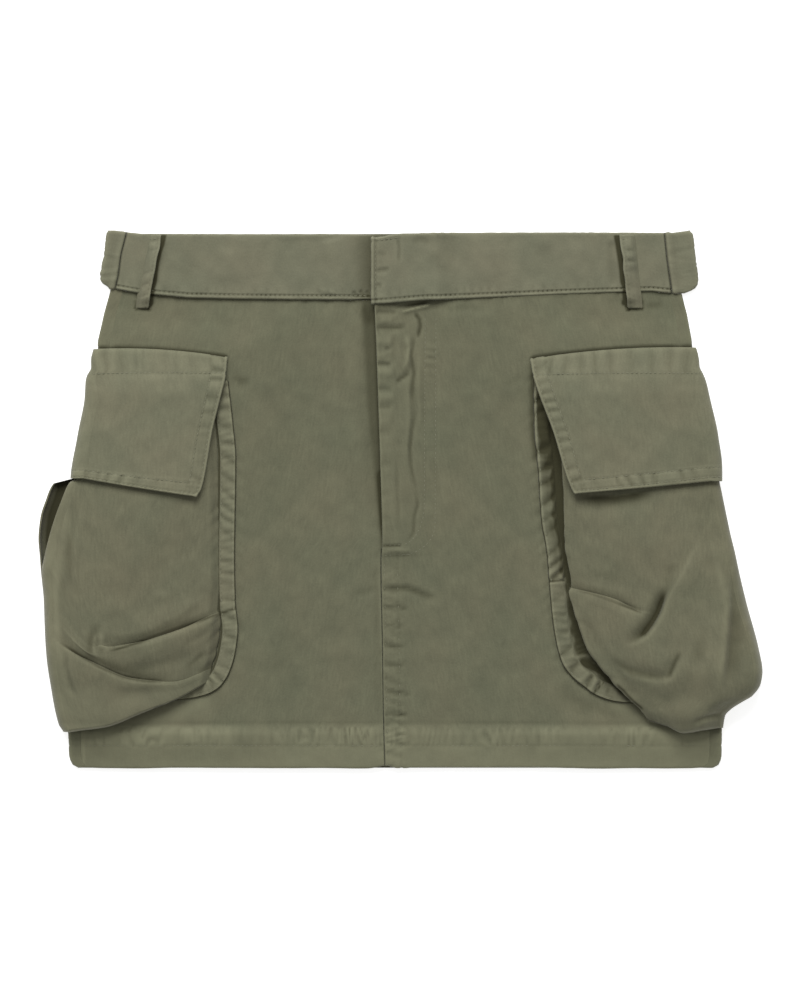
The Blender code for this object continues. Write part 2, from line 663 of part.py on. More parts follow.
def pocket_back(name, sides, way):
    """The half of the bag that lies pressed flat under the back panel."""
    outer = []
    inner = []
    foot = sides[0].y
    for row in sides:
        stop = row.rim - way * row.roll
        edge = way * BACK_EDGE_POCKET
        level = row.y
        flat = [edge + (stop - edge) * i / 4 for i in range(5)]
        # The foot runs up toward the inner edge.
        ys = [level + max(0.0, (foot + 22 - level) * (1 - i / 4) * 0.8) for i in range(5)]
        high = row.rim_z - POCKET_BACK
        wide = roll(stop, row.rim_z, row.roll, high, -90, 0, ROLL_STEPS, way)[1:]
        tight = roll(stop, row.rim_z, row.roll - CLOTH, high - CLOTH, -90, 0, ROLL_STEPS, way)[1:]
        outer.append([(x, y, POCKET_BACK) for x, y in zip(flat, ys)] + [(x, level, z) for x, z in wide])
        inner.append(
            [(x, y, POCKET_BACK + CLOTH) for x, y in zip(flat, ys)] + [(x, level, z) for x, z in tight]
        )
    return new_piece(name, POCKET_COLOUR, outer, inner)


def over_face(face, edge, sides, way, x, y):
    """Height over the front panel of a face's outer side near its mouth, where its lines are level."""
    y = min(y, POCKET_MOUTH)
    start = read(edge, "x", y)
    share = (x - start) / (side_x(sides, y, way) - start)
    levels = [row.y0 for row in face[:5]][::-1]
    heights = [curve(QUARTERS, row[5:10], min(max(share, 0.0), 1.0)) for row in face[:5]][::-1]
    return curve(levels, heights, y)


def flap_lines(flap):
    marks = [0.0]
    for row in flap[:-1]:
        marks.append(marks[-1] + row.strips)
    for step in range(int(marks[-1]) + 1):
        yield FlapRow(*[curve(marks, [row[c] for row in flap], step) for c in range(8)], 0)


def pocket_flap(name, flap, face, edge, sides, way):
    """A flap sewn along its top, over the face, round the side fold and flat underneath."""
    outer = []
    inner = []
    for row in flap_lines(flap):
        stop = row.x_side - way * row.roll
        under = []
        for share in FLAP_SHARES:
            x = row.x_in + (stop - row.x_in) * share
            y = row.y_in + (row.y_side - row.y_in) * share + row.bow * 4 * share * (1 - share)
            rest = over_face(face, edge, sides, way, x, y) + FLAP_AIR
            stand = row.stand * (1 - smooth(share / 0.45))
            under.append((x, y, front_top(x, y) + GAP + (rest - GAP) * row.settle + stand))
        y = row.y_side
        high = under[-1][2] + FLAP
        turn = roll(stop, high / 2, row.roll, high / 2, 90, -90, 2 * ROLL_STEPS, way)[1:]
        tight = roll(stop, high / 2, row.roll - FLAP, high / 2 - FLAP, 90, -90, 2 * ROLL_STEPS, way)[1:]
        last = way * BACK_EDGE_FLAP
        flat = [stop + (last - stop) * i / 3 for i in range(1, 4)]
        outer.append(
            [(x, y2, z + FLAP) for x, y2, z in under]
            + [(x, y, z) for x, z in turn]
            + [(x, y, 0.0) for x in flat]
        )
        inner.append(
            under + [(x, y, z) for x, z in tight] + [(x, y, FLAP) for x in flat]
        )
    return new_piece(name, BAND_COLOUR, outer, inner)


def gusset(name, table, way):
    """The gusset's edge, folded and sewn to the panel, with the cloth that rises toward the face."""
    outer = []
    inner = []
    for i, row in enumerate(table):
        before = table[max(i - 1, 0)]
        after = table[min(i + 1, len(table) - 1)]
        run_x = after.x - before.x
        run_y = after.y - before.y
        length = math.hypot(run_x, run_y)
        # A quarter turn from the way down the line points into the pocket.
        in_x = -way * run_y / length
        in_y = way * run_x / length
        low = []
        high = []
        steps = ((0.0, 0.0, BINDING), (GUSSET_WIDTH, 0.0, BINDING))
        if row.rise or way == 1:
            steps += ((GUSSET_WIDTH + row.reach * 0.6, row.rise * 0.45, CLOTH),)
        steps += ((GUSSET_WIDTH + row.reach, row.rise, CLOTH),)
        for away, rise, thick in steps:
            x = row.x + in_x * away
            y = row.y + in_y * away
            base = front_top(x, y) + GAP + rise
            low.append((x, y, base))
            high.append((x, y, base + thick))
        outer.append(high)
        inner.append(low)
    return new_piece(name, EDGE_COLOUR, outer, inner)


def main():
    for found in list(bpy.data.objects):
        bpy.data.objects.remove(found, do_unlink=True)
    front_panel("front_left", left_columns, no_lap)
    front_panel("front_right", right_columns, fly_lap)
    back_panel()
    fly_shield()
    waistband_left()
    waistband_right()
    waistband_back()
    belt_loop("left")
    belt_loop("right")
    gusset("pocket_gusset_left", LEFT_GUSSET, -1)
    gusset("pocket_gusset_right", RIGHT_GUSSET, 1)
    pocket_front("pocket_front_left", LEFT_FACE, LEFT_EDGE, LEFT_SIDE, NO_FOLDS, -1)
    pocket_front("pocket_front_right", RIGHT_FACE, RIGHT_EDGE, RIGHT_SIDE, RIGHT_FOLDS, 1)
    pocket_back("pocket_back_left", LEFT_SIDE, -1)
    pocket_back("pocket_back_right", RIGHT_SIDE, 1)
    pocket_flap("pocket_flap_left", LEFT_FLAP, LEFT_FACE, LEFT_EDGE, LEFT_SIDE, -1)
    pocket_flap("pocket_flap_right", RIGHT_FLAP, RIGHT_FACE, RIGHT_EDGE, RIGHT_SIDE, 1)


main()
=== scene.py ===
"""A cargo utility skirt laid flat: twill panels, puckered seams, bellows pockets and their stitching.

Every piece of cloth is one closed shell on a lattice of points. Lengths in the tables are in millimetres,
+X runs along the waistband, +Y from hem to waist and +Z up off the surface.
"""

import math
from collections import namedtuple

import bpy
import numpy as np
from bpy.props import FloatProperty, FloatVectorProperty, PointerProperty
from mathutils.bvhtree import BVHTree
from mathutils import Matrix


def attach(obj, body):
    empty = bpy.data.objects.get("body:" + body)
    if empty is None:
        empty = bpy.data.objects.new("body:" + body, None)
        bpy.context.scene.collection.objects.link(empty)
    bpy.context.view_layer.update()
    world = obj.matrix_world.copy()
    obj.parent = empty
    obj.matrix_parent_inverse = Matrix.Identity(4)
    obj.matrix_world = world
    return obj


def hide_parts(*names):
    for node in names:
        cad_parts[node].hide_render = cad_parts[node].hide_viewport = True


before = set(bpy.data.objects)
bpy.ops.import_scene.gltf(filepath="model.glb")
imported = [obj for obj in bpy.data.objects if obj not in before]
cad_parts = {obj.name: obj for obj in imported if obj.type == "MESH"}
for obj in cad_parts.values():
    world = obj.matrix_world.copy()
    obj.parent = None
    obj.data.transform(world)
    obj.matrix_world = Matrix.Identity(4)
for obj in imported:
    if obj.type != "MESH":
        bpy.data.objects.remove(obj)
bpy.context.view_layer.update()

bl_info = {
    "name": "Cargo skirt",
    "version": (1, 0, 0),
    "blender": (4, 5, 0),
    "location": "3D View > Sidebar > Skirt",
    "description": "Sews a cargo utility skirt round its solids",
    "category": "Object",
}

MM = 0.001

# Cloth walls: one layer of twill, and the stacks that are sewn through.
CLOTH = 1.2
BAND = 2.2
HEM = 2.2
FLAP = 2
BINDING = 1.6
LOOP = 1.6

# Air between pieces, at the back's side seams, and where the fronts close against them.
GAP = 0.3
SEAM_CLOSE = 0.22
SEAM_SHUT = 0.02

# Rounding of a cut edge and of a folded one.
EDGE_ROUND = 1
FOLD_ROUND = 1.3

# Body, from the hem up.
HEM_LOW = -175
HEM_STITCH = -160.5
HEM_TOP = -146.8
PANEL_TOP = 129
PANEL_WIDTH = 200
SIDE_SEAM_IN = 8
FRONT_PUFF = 1.7
HEM_ZONE = (-163, -142)
WAIST_ZONE = (116, 129)
CENTRE_ROWS = (2.2, 10.8)

# Fly: its foot, how far it laps, and how its lap stands and runs out.
FLY_FOOT = -34
FLY_UNDERLAP = 4
FLY_LAP = CLOTH + GAP
FLY_LIP = 3.4
FLY_LAP_FLAT = 7
FLY_LAP_END = 24
SHIELD_WIDTH = 48

# The stack of flap and pocket under each side lifts the back panel.
POCKET_BACK = FLAP + GAP
POCKET_LIFT = POCKET_BACK + CLOTH + GAP

# Pockets and flaps. A row of stitches is given by its distance in from its piece's edge.
FLAP_AIR = 1.2
FLAP_HEAD_ROW = 10.4
FLAP_FOOT_ROWS = (2, 9.4)
FLAP_SIDE_ROWS = (2, 9.2)
GUSSET_WIDTH = 10.8
GUSSET_ROWS = (1.8, 9.4)
BACK_EDGE_POCKET = 118
BACK_EDGE_FLAP = 122

# Waistband: its seams at the sides, its lap at the centre, and its loops.
BAND_HIGH = 42
BAND_ROW = 2.7
BAND_LEFT = -183
BAND_RIGHT = 174
OVERLAP_X = -18.5
OVERLAP_DROP = 2.6
UNDERLAP_X = 19
BAND_LAP_RISE = 3.7
BAND_LAP_FLAT = 22
BAND_LAP_END = 36
LOOP_WIDTH = 9
LOOP_TACK = 169

LEFT, RIGHT = -1, 1
SIDE = {LEFT: "left", RIGHT: "right"}


def read_table(text):
    """A table, one row a line. Its first line names the columns."""
    names, *lines = text.strip().splitlines()
    row = namedtuple("Row", names)
    return tuple(row(*map(float, line.split())) for line in lines)


Crease = namedtuple("Crease", "high left right ends points")


def read_creases(text):
    """Creases, one a line: high, left, right and ends, then the x,y of each point."""
    made = []
    for line in text.strip().splitlines():
        if not line.startswith("#"):
            sizes, points = line.split(" : ")
            points = np.array([point.split(",") for point in points.split()], float)
            made.append(Crease(*map(float, sizes.split()), points))
    return made


# The body's side folds, the front edges at the centre and the waistband's two edges.
BODY = read_table("""
y left right
-175 -209.4 203.5
-172.6 -214 208
-167 -215.4 209.2
-150 -215.5 209.3
103 -196.4 189.9
120 -192.6 186.8
135 -188.6 182.8
""")
CENTRE_FRONT = read_table("""
y x
-175 -9.8
-135 -10.9
-97 -11.4
-40 -12.4
-29 -11.7
23 -13
63 -14.3
102 -15.7
130 -17
""")
WAIST = read_table("""
x low top
-185.4 136.6 174.6
-170 133.7 172.4
-138 130.7 172.3
-106 129.9 172.2
-66 129.5 172.2
-25 129.3 172.3
0 129.2 172.4
24 129.3 173
66 131.2 173.2
106 133 173.3
138 134.2 173.2
164 135 173
176.7 133.6 173
190 133.6 174.8
""")

# The waistband's ends, by the share of its height.
WAIST_ENDS = read_table("""
share left_fold left_seam right_seam right_fold
0 -189.2 -185.4 176.7 185
0.09 -193.4 -184.7 176.3 192.4
0.2 -195.2 -183.6 175.7 194
0.6 -192.6 -181.3 173.6 192
0.93 -191.2 -178.3 172.3 190.8
1 -190 -177.8 172.1 188.6
""")

# The belt loops' middles. shade is the width of the painted shade beside a loop's inner edge.
LOOPS = read_table("""
y left right rise shade
123.9 -167.6 153.1 0.6 1.2
127 -167.2 152.7 1.7 3.2
130.5 -166.7 152.4 2.7 2.5
137 -165.7 151.5 1.5 1.9
148 -164 150.3 2.2 2.1
160 -161.8 149.1 2 2.6
168 -160.2 148.2 0.8 3.1
171.8 -159.4 147.9 0.3 3.2
""")
FLY_SHIELD = read_table("""
y left right
-41 -14 -4
-30 -21 10
-8 -25 20
60 -26 23
127.5 -27 24
""")

# Side folds of the pockets: where the front half ends and how high its seam lies, where the back
# half's rim lies and how high it stands, and how far in from the fold the cloth starts to turn.
SIDES = {LEFT: read_table("""
y x seam rim rim_z roll
-151 -219 7 -219 6.7 4.6
-146 -222 7.5 -222 7.2 6
-121 -227 8.5 -227 8.2 6
-101 -229.8 8.5 -229.8 8.2 6
-82 -231 8.5 -231 8.2 6
-65 -231.6 8.5 -231.6 8.2 6
-48 -233 9.2 -233.4 8.8 6
-37 -230.9 13 -234.3 9.8 6
-26 -228.2 15 -235.1 10.6 6
-12.6 -224.2 15.5 -233.8 10.8 6
-1.5 -220 15.5 -230.4 10.4 6
10.4 -214.8 13 -225 9.4 6
13.6 -211 8 -211.2 7.7 6
40 -206.4 7.2 -206.4 6.9 6
54 -203.8 6.9 -203.8 6.6 6
66 -202.2 6.6 -202.2 6.3 6
"""), RIGHT: read_table("""
y x seam rim rim_z roll
-149 210 7 210 6.7 2.6
-141 211.4 7.5 211.4 7.2 3.6
-136.5 215.5 8 215.5 7.7 5
-132 222.5 8.5 222.5 8.2 6
-128 229 9 229 8.7 6
-120 234.4 9 234.4 8.7 6
-112 235.6 9 235.6 8.7 6
-98 233.3 9 233.3 8.7 6
-67.7 225.2 9 225.2 8.7 6
-28 215.9 8.6 215.9 8.3 6
4 209.2 8.2 209.2 7.9 6
10.6 207.8 8 207.8 7.7 6
40 204.9 7.6 204.9 7.3 6
66 199.2 7 199.2 6.7 6
""")}

# Inner edges of the faces.
EDGES = {LEFT: read_table("""
y x
-118 -123.6
-109.4 -122.2
-98 -118.8
-76 -116.6
-72 -118.4
-54 -117
-15 -117.4
25 -118.4
66 -121
"""), RIGHT: read_table("""
y x
-144.5 161.2
-135.3 154.4
-119.6 139.5
-110.7 132
-101.8 125.2
-94.3 121.2
-84.6 118
-73.4 113.4
-60 109.4
-57 110.8
-28 106.6
0 106
66 102.5
""")}

# A face's folds from the mouth down: y0..y4 place the line at its inner edge, quarter, half, three
# quarters and side; h0..h4 give its height over the front panel.
FACES = {LEFT: read_table("""
y0 y1 y2 y3 y4 h0 h1 h2 h3 h4
66 66 66 66 66 3.6 8.2 9 8.6 6.6
40 40 40 40 40 3.6 8.8 10.2 9.8 7.8
13 13 13 13 13.5 3.7 9 11 11.2 9.4
-20 -20 -20 -18 -16 3.8 9.8 13 13.6 11.2
-50 -52 -55 -53 -44 4 10 13.8 15 12.2
-69.4 -79.6 -86.4 -88 -60 4.2 10.6 13.8 15.6 12.7
-75.4 -88.2 -96.4 -94.6 -66 2.8 7.4 9.8 15.5 12.9
-73.6 -85.4 -93.2 -96.2 -70 4.6 12.6 15.2 15.8 13
-76.6 -88.6 -96.4 -98.8 -74 6.2 14.2 16.8 16.2 13.1
-86.4 -99 -104.8 -101.4 -78 5.4 12.8 15.8 16.8 13.3
-98 -110 -113 -103.4 -83 4.6 10.8 13.2 16 13.4
-109.6 -119.2 -118.8 -108.4 -90 4.3 9.2 10.6 13.6 13.6
-110.4 -118.4 -116.2 -106 -94 4.5 10.4 15.4 17.8 13.9
-112 -120.6 -119.4 -109.6 -99 4.6 11.4 17.4 19.6 14.1
-114 -124.4 -126.6 -125.4 -122 4.6 10.6 15.2 17.4 13
-117.2 -130 -138.2 -146.6 -149.6 4.4 9.4 13.2 14.6 11
-118 -131.2 -139.8 -148.2 -151.2 3.2 4.6 6.2 7 5.4
"""), RIGHT: read_table("""
y0 y1 y2 y3 y4 h0 h1 h2 h3 h4
66 66 66 66 66 6.4 8.6 9 8.2 6.2
40 40 40 40 40 7.2 9.8 11 10.2 8
8 8 8 8 8 8.2 11.2 13.4 13.2 10.2
-28 -28 -28 -28 -28 8.6 12.2 15.4 16.6 12.4
-52 -57.6 -60 -53 -52 8.4 11.6 15.6 18.6 14.2
-58.2 -66 -72 -61 -59 6.4 9.6 15.8 19.2 14.6
-57.4 -64.4 -75 -68 -66 8.8 13.2 16.2 19.8 15
-60 -67.8 -78.8 -76 -74 9.8 14.8 17 20.8 15.7
-84.6 -90 -93 -93 -93 9.8 15.6 20.2 23.4 17.6
-103 -108 -111 -112 -112 9.6 16.2 22 25 18.4
-122 -125 -127 -127 -125 9 14.6 20.4 23.4 16.4
-134 -138.4 -141 -140.2 -138 8.6 13.4 18.4 20.4 13.2
-142.8 -146.6 -150.6 -149.2 -147 6.6 9.8 12.8 13 8.6
-144.5 -147.8 -152.4 -150.8 -149 4.2 5 5.8 5.4 4.6
""")}

# Flap lines from the top seam down: inner end, side fold, bow at the middle, how far the inner end
# and the line settle on what lies under them, how far they stand off it, and the side fold's roll.
FLAPS = {LEFT: read_table("""
x_in y_in x_side y_side bow settle stand roll
-112.4 91.9 -199.6 97.3 2.2 0 0 3.5
-112.7 87.5 -201.3 90.4 1.5 0.25 0 4.6
-112.9 84 -201.2 85 0.9 0.4 0 5.2
-113.2 81 -203.8 80.6 0.6 0.6 0 6.2
-113.9 76.8 -204.8 76.4 0.3 0.8 0 7.2
-116.6 66 -205.3 66 0 1 0 8.9
-121.7 45 -209.6 42 0 1 0.2 8.9
-129 6.4 -214.2 16.5 -0.4 1 0.6 8.9
-132.3 1.4 -214.4 13.2 -0.4 1 0.6 8.9
"""), RIGHT: read_table("""
x_in y_in x_side y_side bow settle stand roll
84.9 90.8 192.6 98.3 2.3 0 0 3.5
85.4 86.6 194.6 90.6 1.5 0.25 0.3 4.6
85.9 83 195 85.8 1 0.4 0.4 5.2
86.4 80.4 197.2 81.4 0.7 0.6 0.6 6
87.4 76.8 199.2 76.4 0.4 0.8 0.9 7
91 66 201.6 66 0 1 1.2 8.9
99 45 206.8 42 0 1 2 8.9
111.3 6.4 209.6 16 -0.3 1 3 8.9
113.4 3.4 209.6 11.4 -0.3 1 3 8.9
""")}

# Gusset edges sewn to the front panel, and how far and how high the cloth rises toward the face.
GUSSETS = {LEFT: read_table("""
x y reach rise
-111.5 77 1 0
-108.6 52 1 0
-106.4 26 1 0
-107.2 -40 1 0
-106.6 -68 1 0
-105 -84 1 0
-106.7 -99.5 1 0
-110.6 -112.7 1 0
-117 -122.4 1 0
-125.9 -127.6 1 0
-139 -130.4 1 0
-172 -133 1 0
-206 -134 1 0
"""), RIGHT: read_table("""
x y reach rise
86.5 77 8 2.6
86.9 48 8.5 3.6
89.4 20 8.5 4.4
91.6 -14 7 4.8
95 -34 6 4.8
96.8 -56 6 4.4
98.4 -74 6 4.8
100.6 -90 9 5
104.4 -105 12 5.4
110.4 -114.6 12 5
118.6 -121.6 11 4.4
127.6 -128 8 2.8
141 -132.2 2 0.4
172 -134.4 1 0
202 -135.6 1 0
""")}

# Creases: height (a trough below 0), how far they spread to the left and to the right
# of the line's own direction, the share of the length that each end fades, and the line's points.
FRONT_CREASES = {LEFT: read_creases("""
-0.75 2.4 6.5 0.05 : -21.4,130 -20,90 -18.2,40 -16.4,-6 -14.4,-24
0.7 7 6 0.3 : -34,122 -32,90 -30,40 -26,0
-0.9 2 3 0.3 : -34,129 -26,124 -20,118
-0.6 6 9 0.4 : -150,118 -120,112 -84,118
-0.8 2.6 3 0.35 : -112,78 -104,74 -96,76
-0.8 17 14 0.4 : -60,110 -72,40 -64,-30
0.8 9 12 0.35 : -88,-20 -80,-84 -96,-132
-0.6 12 12 0.4 : -30,-62 -50,-100 -44,-138
-0.7 1.6 3 0.35 : -13,-58 -22,-62 -32,-62
-0.6 1.4 2.6 0.1 : -15.6,-40 -14.6,-90 -13.6,-140
"""), RIGHT: read_creases("""
# Folded band of the fly, from the waist down.
0.9 2.4 2.4 0.3 : -14,116.6 -3.4,115.6
-1.2 1.5 2.2 0.2 : -17,111.6 -6,110.9 5.2,112.4
-0.5 1.2 1.2 0.35 : -11,107.8 -5.6,107.4
0.9 2.8 2.8 0.25 : -17,102.8 -4,101.8
-0.8 1.3 1.3 0.35 : -10.6,97.6 -5.4,97
0.5 2.2 2.2 0.3 : -17,93 -8,93
-1.1 1.5 2.2 0.2 : -17,88 -5,87.2
0.9 2.4 2.6 0.25 : -16.6,82.2 -3,81.4
-1.1 1.4 1.8 0.2 : -3.4,75.6 1.2,78.6 6.8,82.2
0.4 2 2 0.3 : -16.4,76.4 -8,76.8
-0.9 1.7 2 0.2 : -16.4,71.6 -4.6,71
0.8 2.6 2.6 0.3 : -16.2,65.8 -2,65.4
-0.8 1.7 1.9 0.25 : -16.2,60.2 -4.4,59.8
0.5 3.4 3.4 0.3 : -15.8,50.6 -4,50
-0.6 2.1 2.1 0.3 : -15.6,43.6 -4,42.6
0.4 3.4 3.4 0.3 : -15.2,30 -4,30
-0.5 2.4 2.4 0.3 : -15,21.6 -3,22.6
-0.4 2.4 2.4 0.3 : -14.6,2 -4,3
-0.4 2.2 2.2 0.3 : -14.2,-14 -4,-13.4
1.5 2.6 2 0.25 : 3.6,108 6,98 4.8,90 0.8,81
-0.5 1.8 1.8 0.3 : -3.4,108 -3.8,96 -4.4,84
1 1.5 3.6 0.2 : 4.6,79 5.4,66 6,52 4.6,36 5.4,20
-1.3 1.1 1.5 0.2 : 9.5,121.5 12.7,116.8 13.4,112 11.6,104
-1 1 1.6 0.25 : 10,110 7.4,92.6 9.3,81.8 8.3,73.7 8.2,65.6 9.7,57.5
-0.8 0.9 1.8 0.3 : 8.6,64 9.6,54 8,44 6.6,31 7.6,20 10,8 11.2,-2
-0.7 1 1.4 0.3 : 10.4,8 11.6,-4 9.4,-12 9,-22 4,-29
0.7 1.8 1.8 0.2 : 12.2,100 12.6,84 12,70 13,56 12,40
-0.7 1.1 1.6 0.3 : -2.2,30 -1.2,0 -0.6,-16 -0.4,-28
-0.5 1.8 2.4 0.3 : 20.4,30 24,12 26,-4
# Gathers under the waistband.
1.5 0.9 1.5 0.15 : 0.4,121.2 9,123.6 20.5,126.4
-0.9 1 1.1 0.25 : -4,124.4 8,126.6 19,128.6
-1 1.8 1.2 0.15 : -16,121.2 -2,120.8
-0.5 2.4 3 0.35 : 26,122 44,124 60,122
# Foot of the fly and the centre seam under it.
-0.7 0.8 0.9 0.06 : -14.4,-30.8 1.2,-30.2
-0.3 0.6 0.6 0.15 : -11.4,-37.2 8.6,-36.4
0.5 1.3 1.3 0.2 : -10.6,-33.8 8,-33.2
-1.5 1.2 4 0.25 : -13.6,-57.8 4,-57.4 14,-60.6 27,-65.4
0.4 1.2 3 0.3 : -8,-60.8 6,-61 18,-66
-0.9 1.1 2 0.2 : -13.6,-70.6 -1,-70.2 6,-71.8
-0.6 1.2 1.4 0.25 : -13.2,-81.4 -2,-83.4 3,-81
-0.8 1.3 1.5 0.25 : -13,-95.4 -1,-96.4 6,-94.8
-0.7 1.3 1.5 0.25 : -12.8,-107 0,-108.6 5,-106
-0.9 1.2 1.7 0.25 : -12.6,-126.4 2,-126.2 9,-128
-0.8 1.2 1.7 0.25 : -12,-139.6 -1,-140.8 7,-140
# Long soft hollows of the panel.
-0.7 15 20 0.4 : 30,118 52,60 60,-10
-0.7 12 15 0.4 : 40,-58 62,-96 92,-128
-0.6 3 2.4 0.4 : 62,73 72,75 84,81
0.7 8 5 0.3 : 76,66 80,20 84,-40
-1.3 5 7 0.35 : 96,-118 120,-137 158,-147
0.5 6 9 0.4 : 22,96 34,60 36,20
""")}
BAND_CREASES = read_creases("""
# Left half, dipping toward the overlap.
1.3 8 9 0.1 : -44,171 -40,150 -46,131
-0.9 1.3 1.3 0.3 : -31,135.4 -27,130.6
-1.1 1.1 1.1 0.3 : -26,136.4 -23.4,130.4
-1 1.1 1.1 0.3 : -21.6,136 -20.6,130.2
-0.8 6 6 0.3 : -140,168 -134,150 -142,136
0.8 7 7 0.3 : -112,166 -116,140
-0.7 6 6 0.3 : -86,170 -90,150 -84,134
0.6 6 7 0.3 : -66,168 -62,136
# Right half.
-1.1 1.2 1.6 0.3 : -16.4,148 -12,148.4 -6,149.6
-0.9 1.2 1.6 0.35 : -16,139.4 -11,138
-0.5 1.8 1.8 0.35 : -16,160 -8,158
-0.8 1.1 1.1 0.25 : -1.6,171 -0.4,162 -0.8,152
-0.6 2.4 2.4 0.35 : 6,166 14,168 22,165
-0.7 4 5 0.35 : 22,162 26,150 34,144
0.7 8 8 0.3 : 60,170 56,150 62,136
-0.7 6 8 0.3 : 92,168 96,140
0.7 7 7 0.3 : 120,170 116,152 122,138
-1 3.6 3 0.2 : 137,170 139,136
-0.9 3 2.4 0.2 : -153,170 -158,148 -161,134
""")
FACE_CREASES = {LEFT: read_creases("""
# The small upright fold where the upper tuck ends.
-2 3.2 1.8 0.4 : -199.6,-101 -198.4,-94 -197.4,-87 -196.4,-80
1.1 1.8 3.2 0.35 : -195.6,-101 -194.6,-94 -193.4,-86
-0.4 1.4 1.4 0.35 : -190,-96 -190.6,-91 -191.2,-86
# Ridge between the face and its side, and the wrinkles inside it.
0.8 3.4 2.2 0.1 : -213.4,10 -218.6,-30 -222.4,-62 -223.6,-90 -223,-120 -220.6,-144
-0.35 2 2 0.3 : -219,-50 -219.6,-64 -219.4,-78
-1 1.4 2.4 0.3 : -216.6,-98 -216.6,-110 -213,-122 -208,-132
-0.5 1.3 1.3 0.3 : -213,-18 -214.4,-40 -214,-62
-0.4 1.1 1.1 0.3 : -217.4,-30 -218.4,-52 -217.8,-72
-0.35 1.6 1.6 0.3 : -208,-30 -209.4,-58 -209,-78
0.5 3 3 0.35 : -204,4 -209,-22 -211.4,-46
# Soft fall of the face above the upper tuck.
-0.6 9 9 0.35 : -150,-20 -160,-52 -176,-84
0.8 3 6 0.3 : -124,-60 -146,-76 -170,-86
0.5 3 3 0.4 : -146,-63 -162,-62
0.7 4 4 0.4 : -186,-60 -190,-80
# Between the tucks.
-0.9 4 5 0.3 : -124,-92 -142,-104 -166,-110 -186,-108
-0.5 2 3 0.3 : -121.6,-84 -130,-90 -142,-96
-0.6 1.4 2 0.3 : -124,-98.4 -132,-105 -139,-110.6
# Below the lower tuck.
0.3 3 5 0.35 : -216,-101 -206,-111 -194,-117
-0.8 5 6 0.35 : -150,-123 -172,-128 -194,-130
"""), RIGHT: read_creases("""
# The deep diagonal valley and the ridge that leans over it.
-5 2 5.2 0.35 : 173.4,-55 170.6,-64 167.6,-73 163.2,-80.8 158.2,-87.2 151.6,-91.6 144,-94.4
-1.4 2.6 5.4 0.4 : 178,-40 175,-50 171.6,-61
2.6 10 2.6 0.35 : 198,-22 189,-38 181.8,-52 173.6,-67 167.2,-79.6 160.8,-89.4 153,-96
# Upper crease and the flat above it.
-1 1.8 1.4 0.35 : 140,-67.2 148,-70.2 156.4,-73.6 159,-76.4
-0.6 4 5 0.35 : 116,-48 132,-52 150,-56
0.3 2.4 2.6 0.3 : 112,-62.4 126,-66.6 142,-73.4 152,-78
# The fold that turns up at its right end.
-2.1 6 2.2 0.35 : 136,-100 142,-106.6 150.7,-111.8 161.9,-114.9 \
169,-116 173.4,-114.6 176.6,-109.4 180.6,-101.8 183,-92
0.45 3 6 0.35 : 138,-107.6 150,-116.4 163,-120.2 171.6,-121 178,-116.6 182.4,-108 186.4,-98
1 5.4 5.4 0.35 : 184,-62 182.6,-80 180.6,-96
-1.4 5 5.4 0.4 : 194,-80 195,-97 190,-114
0.7 5 5 0.4 : 203,-60 204.6,-86 199.6,-114
# Side of the bag.
1.2 2.4 7 0.2 : 208.6,-14 211.6,-40 212.8,-70 210,-96 205.4,-130
-1.7 7 3 0.3 : 214,-44 217.4,-70 216.4,-92 211,-131
# Foot of the bag.
-1 1.3 2.2 0.3 : 188,-145.6 198,-141.8 210,-139.4
0.5 1.6 1.4 0.3 : 188.6,-148.4 199,-144.8 210,-142.4
-0.6 6 7 0.35 : 160,-136 176,-131 192,-126
# Folded edge along the gusset.
0.8 2.6 2 0.1 : 113,-74 119.6,-92 128,-104 142,-120 157,-136
-0.8 3 4 0.2 : 119,-72 127,-92 141,-112 157,-130
# Hollow under the flap.
-1.6 5 6 0.35 : 110,0 128,-3.4 146,-3.4 168,3
-0.6 6 8 0.35 : 114,-8 118,-26 124,-48
0.8 9 8 0.35 : 150,-8 158,-24 168,-40
-0.8 8 7 0.35 : 190,0 197,-16 206,-34
""")}
GUSSET_CREASES = read_creases("""
1.5 1.3 1.9 0.3 : 109.4,-105.6 114.6,-103.4 120.2,-102.2 128,-103.2
""")
FLAP_CREASES = read_creases("""
-0.5 9 10 0.35 : -140,78 -150,50 -146,22
0.5 8 8 0.35 : -186,80 -190,50 -196,26
-0.4 8 8 0.4 : -168,70 -172,40
0.5 9 9 0.35 : 110,76 124,50 130,20
-0.5 10 10 0.35 : 150,80 158,50 160,22
0.45 7 7 0.35 : 186,82 192,54 196,26
""")
BACK_CREASES = read_creases("""
0.8 8 11 0.3 : -120,-130 -70,-84 -30,-20
0.7 9 9 0.3 : 110,-126 74,-70 50,10
0.6 6 9 0.3 : -40,96 0,84 52,94
0.6 7 7 0.3 : 8,40 -6,-40 4,-120
0.5 6 6 0.4 : -84,70 -62,30
""")
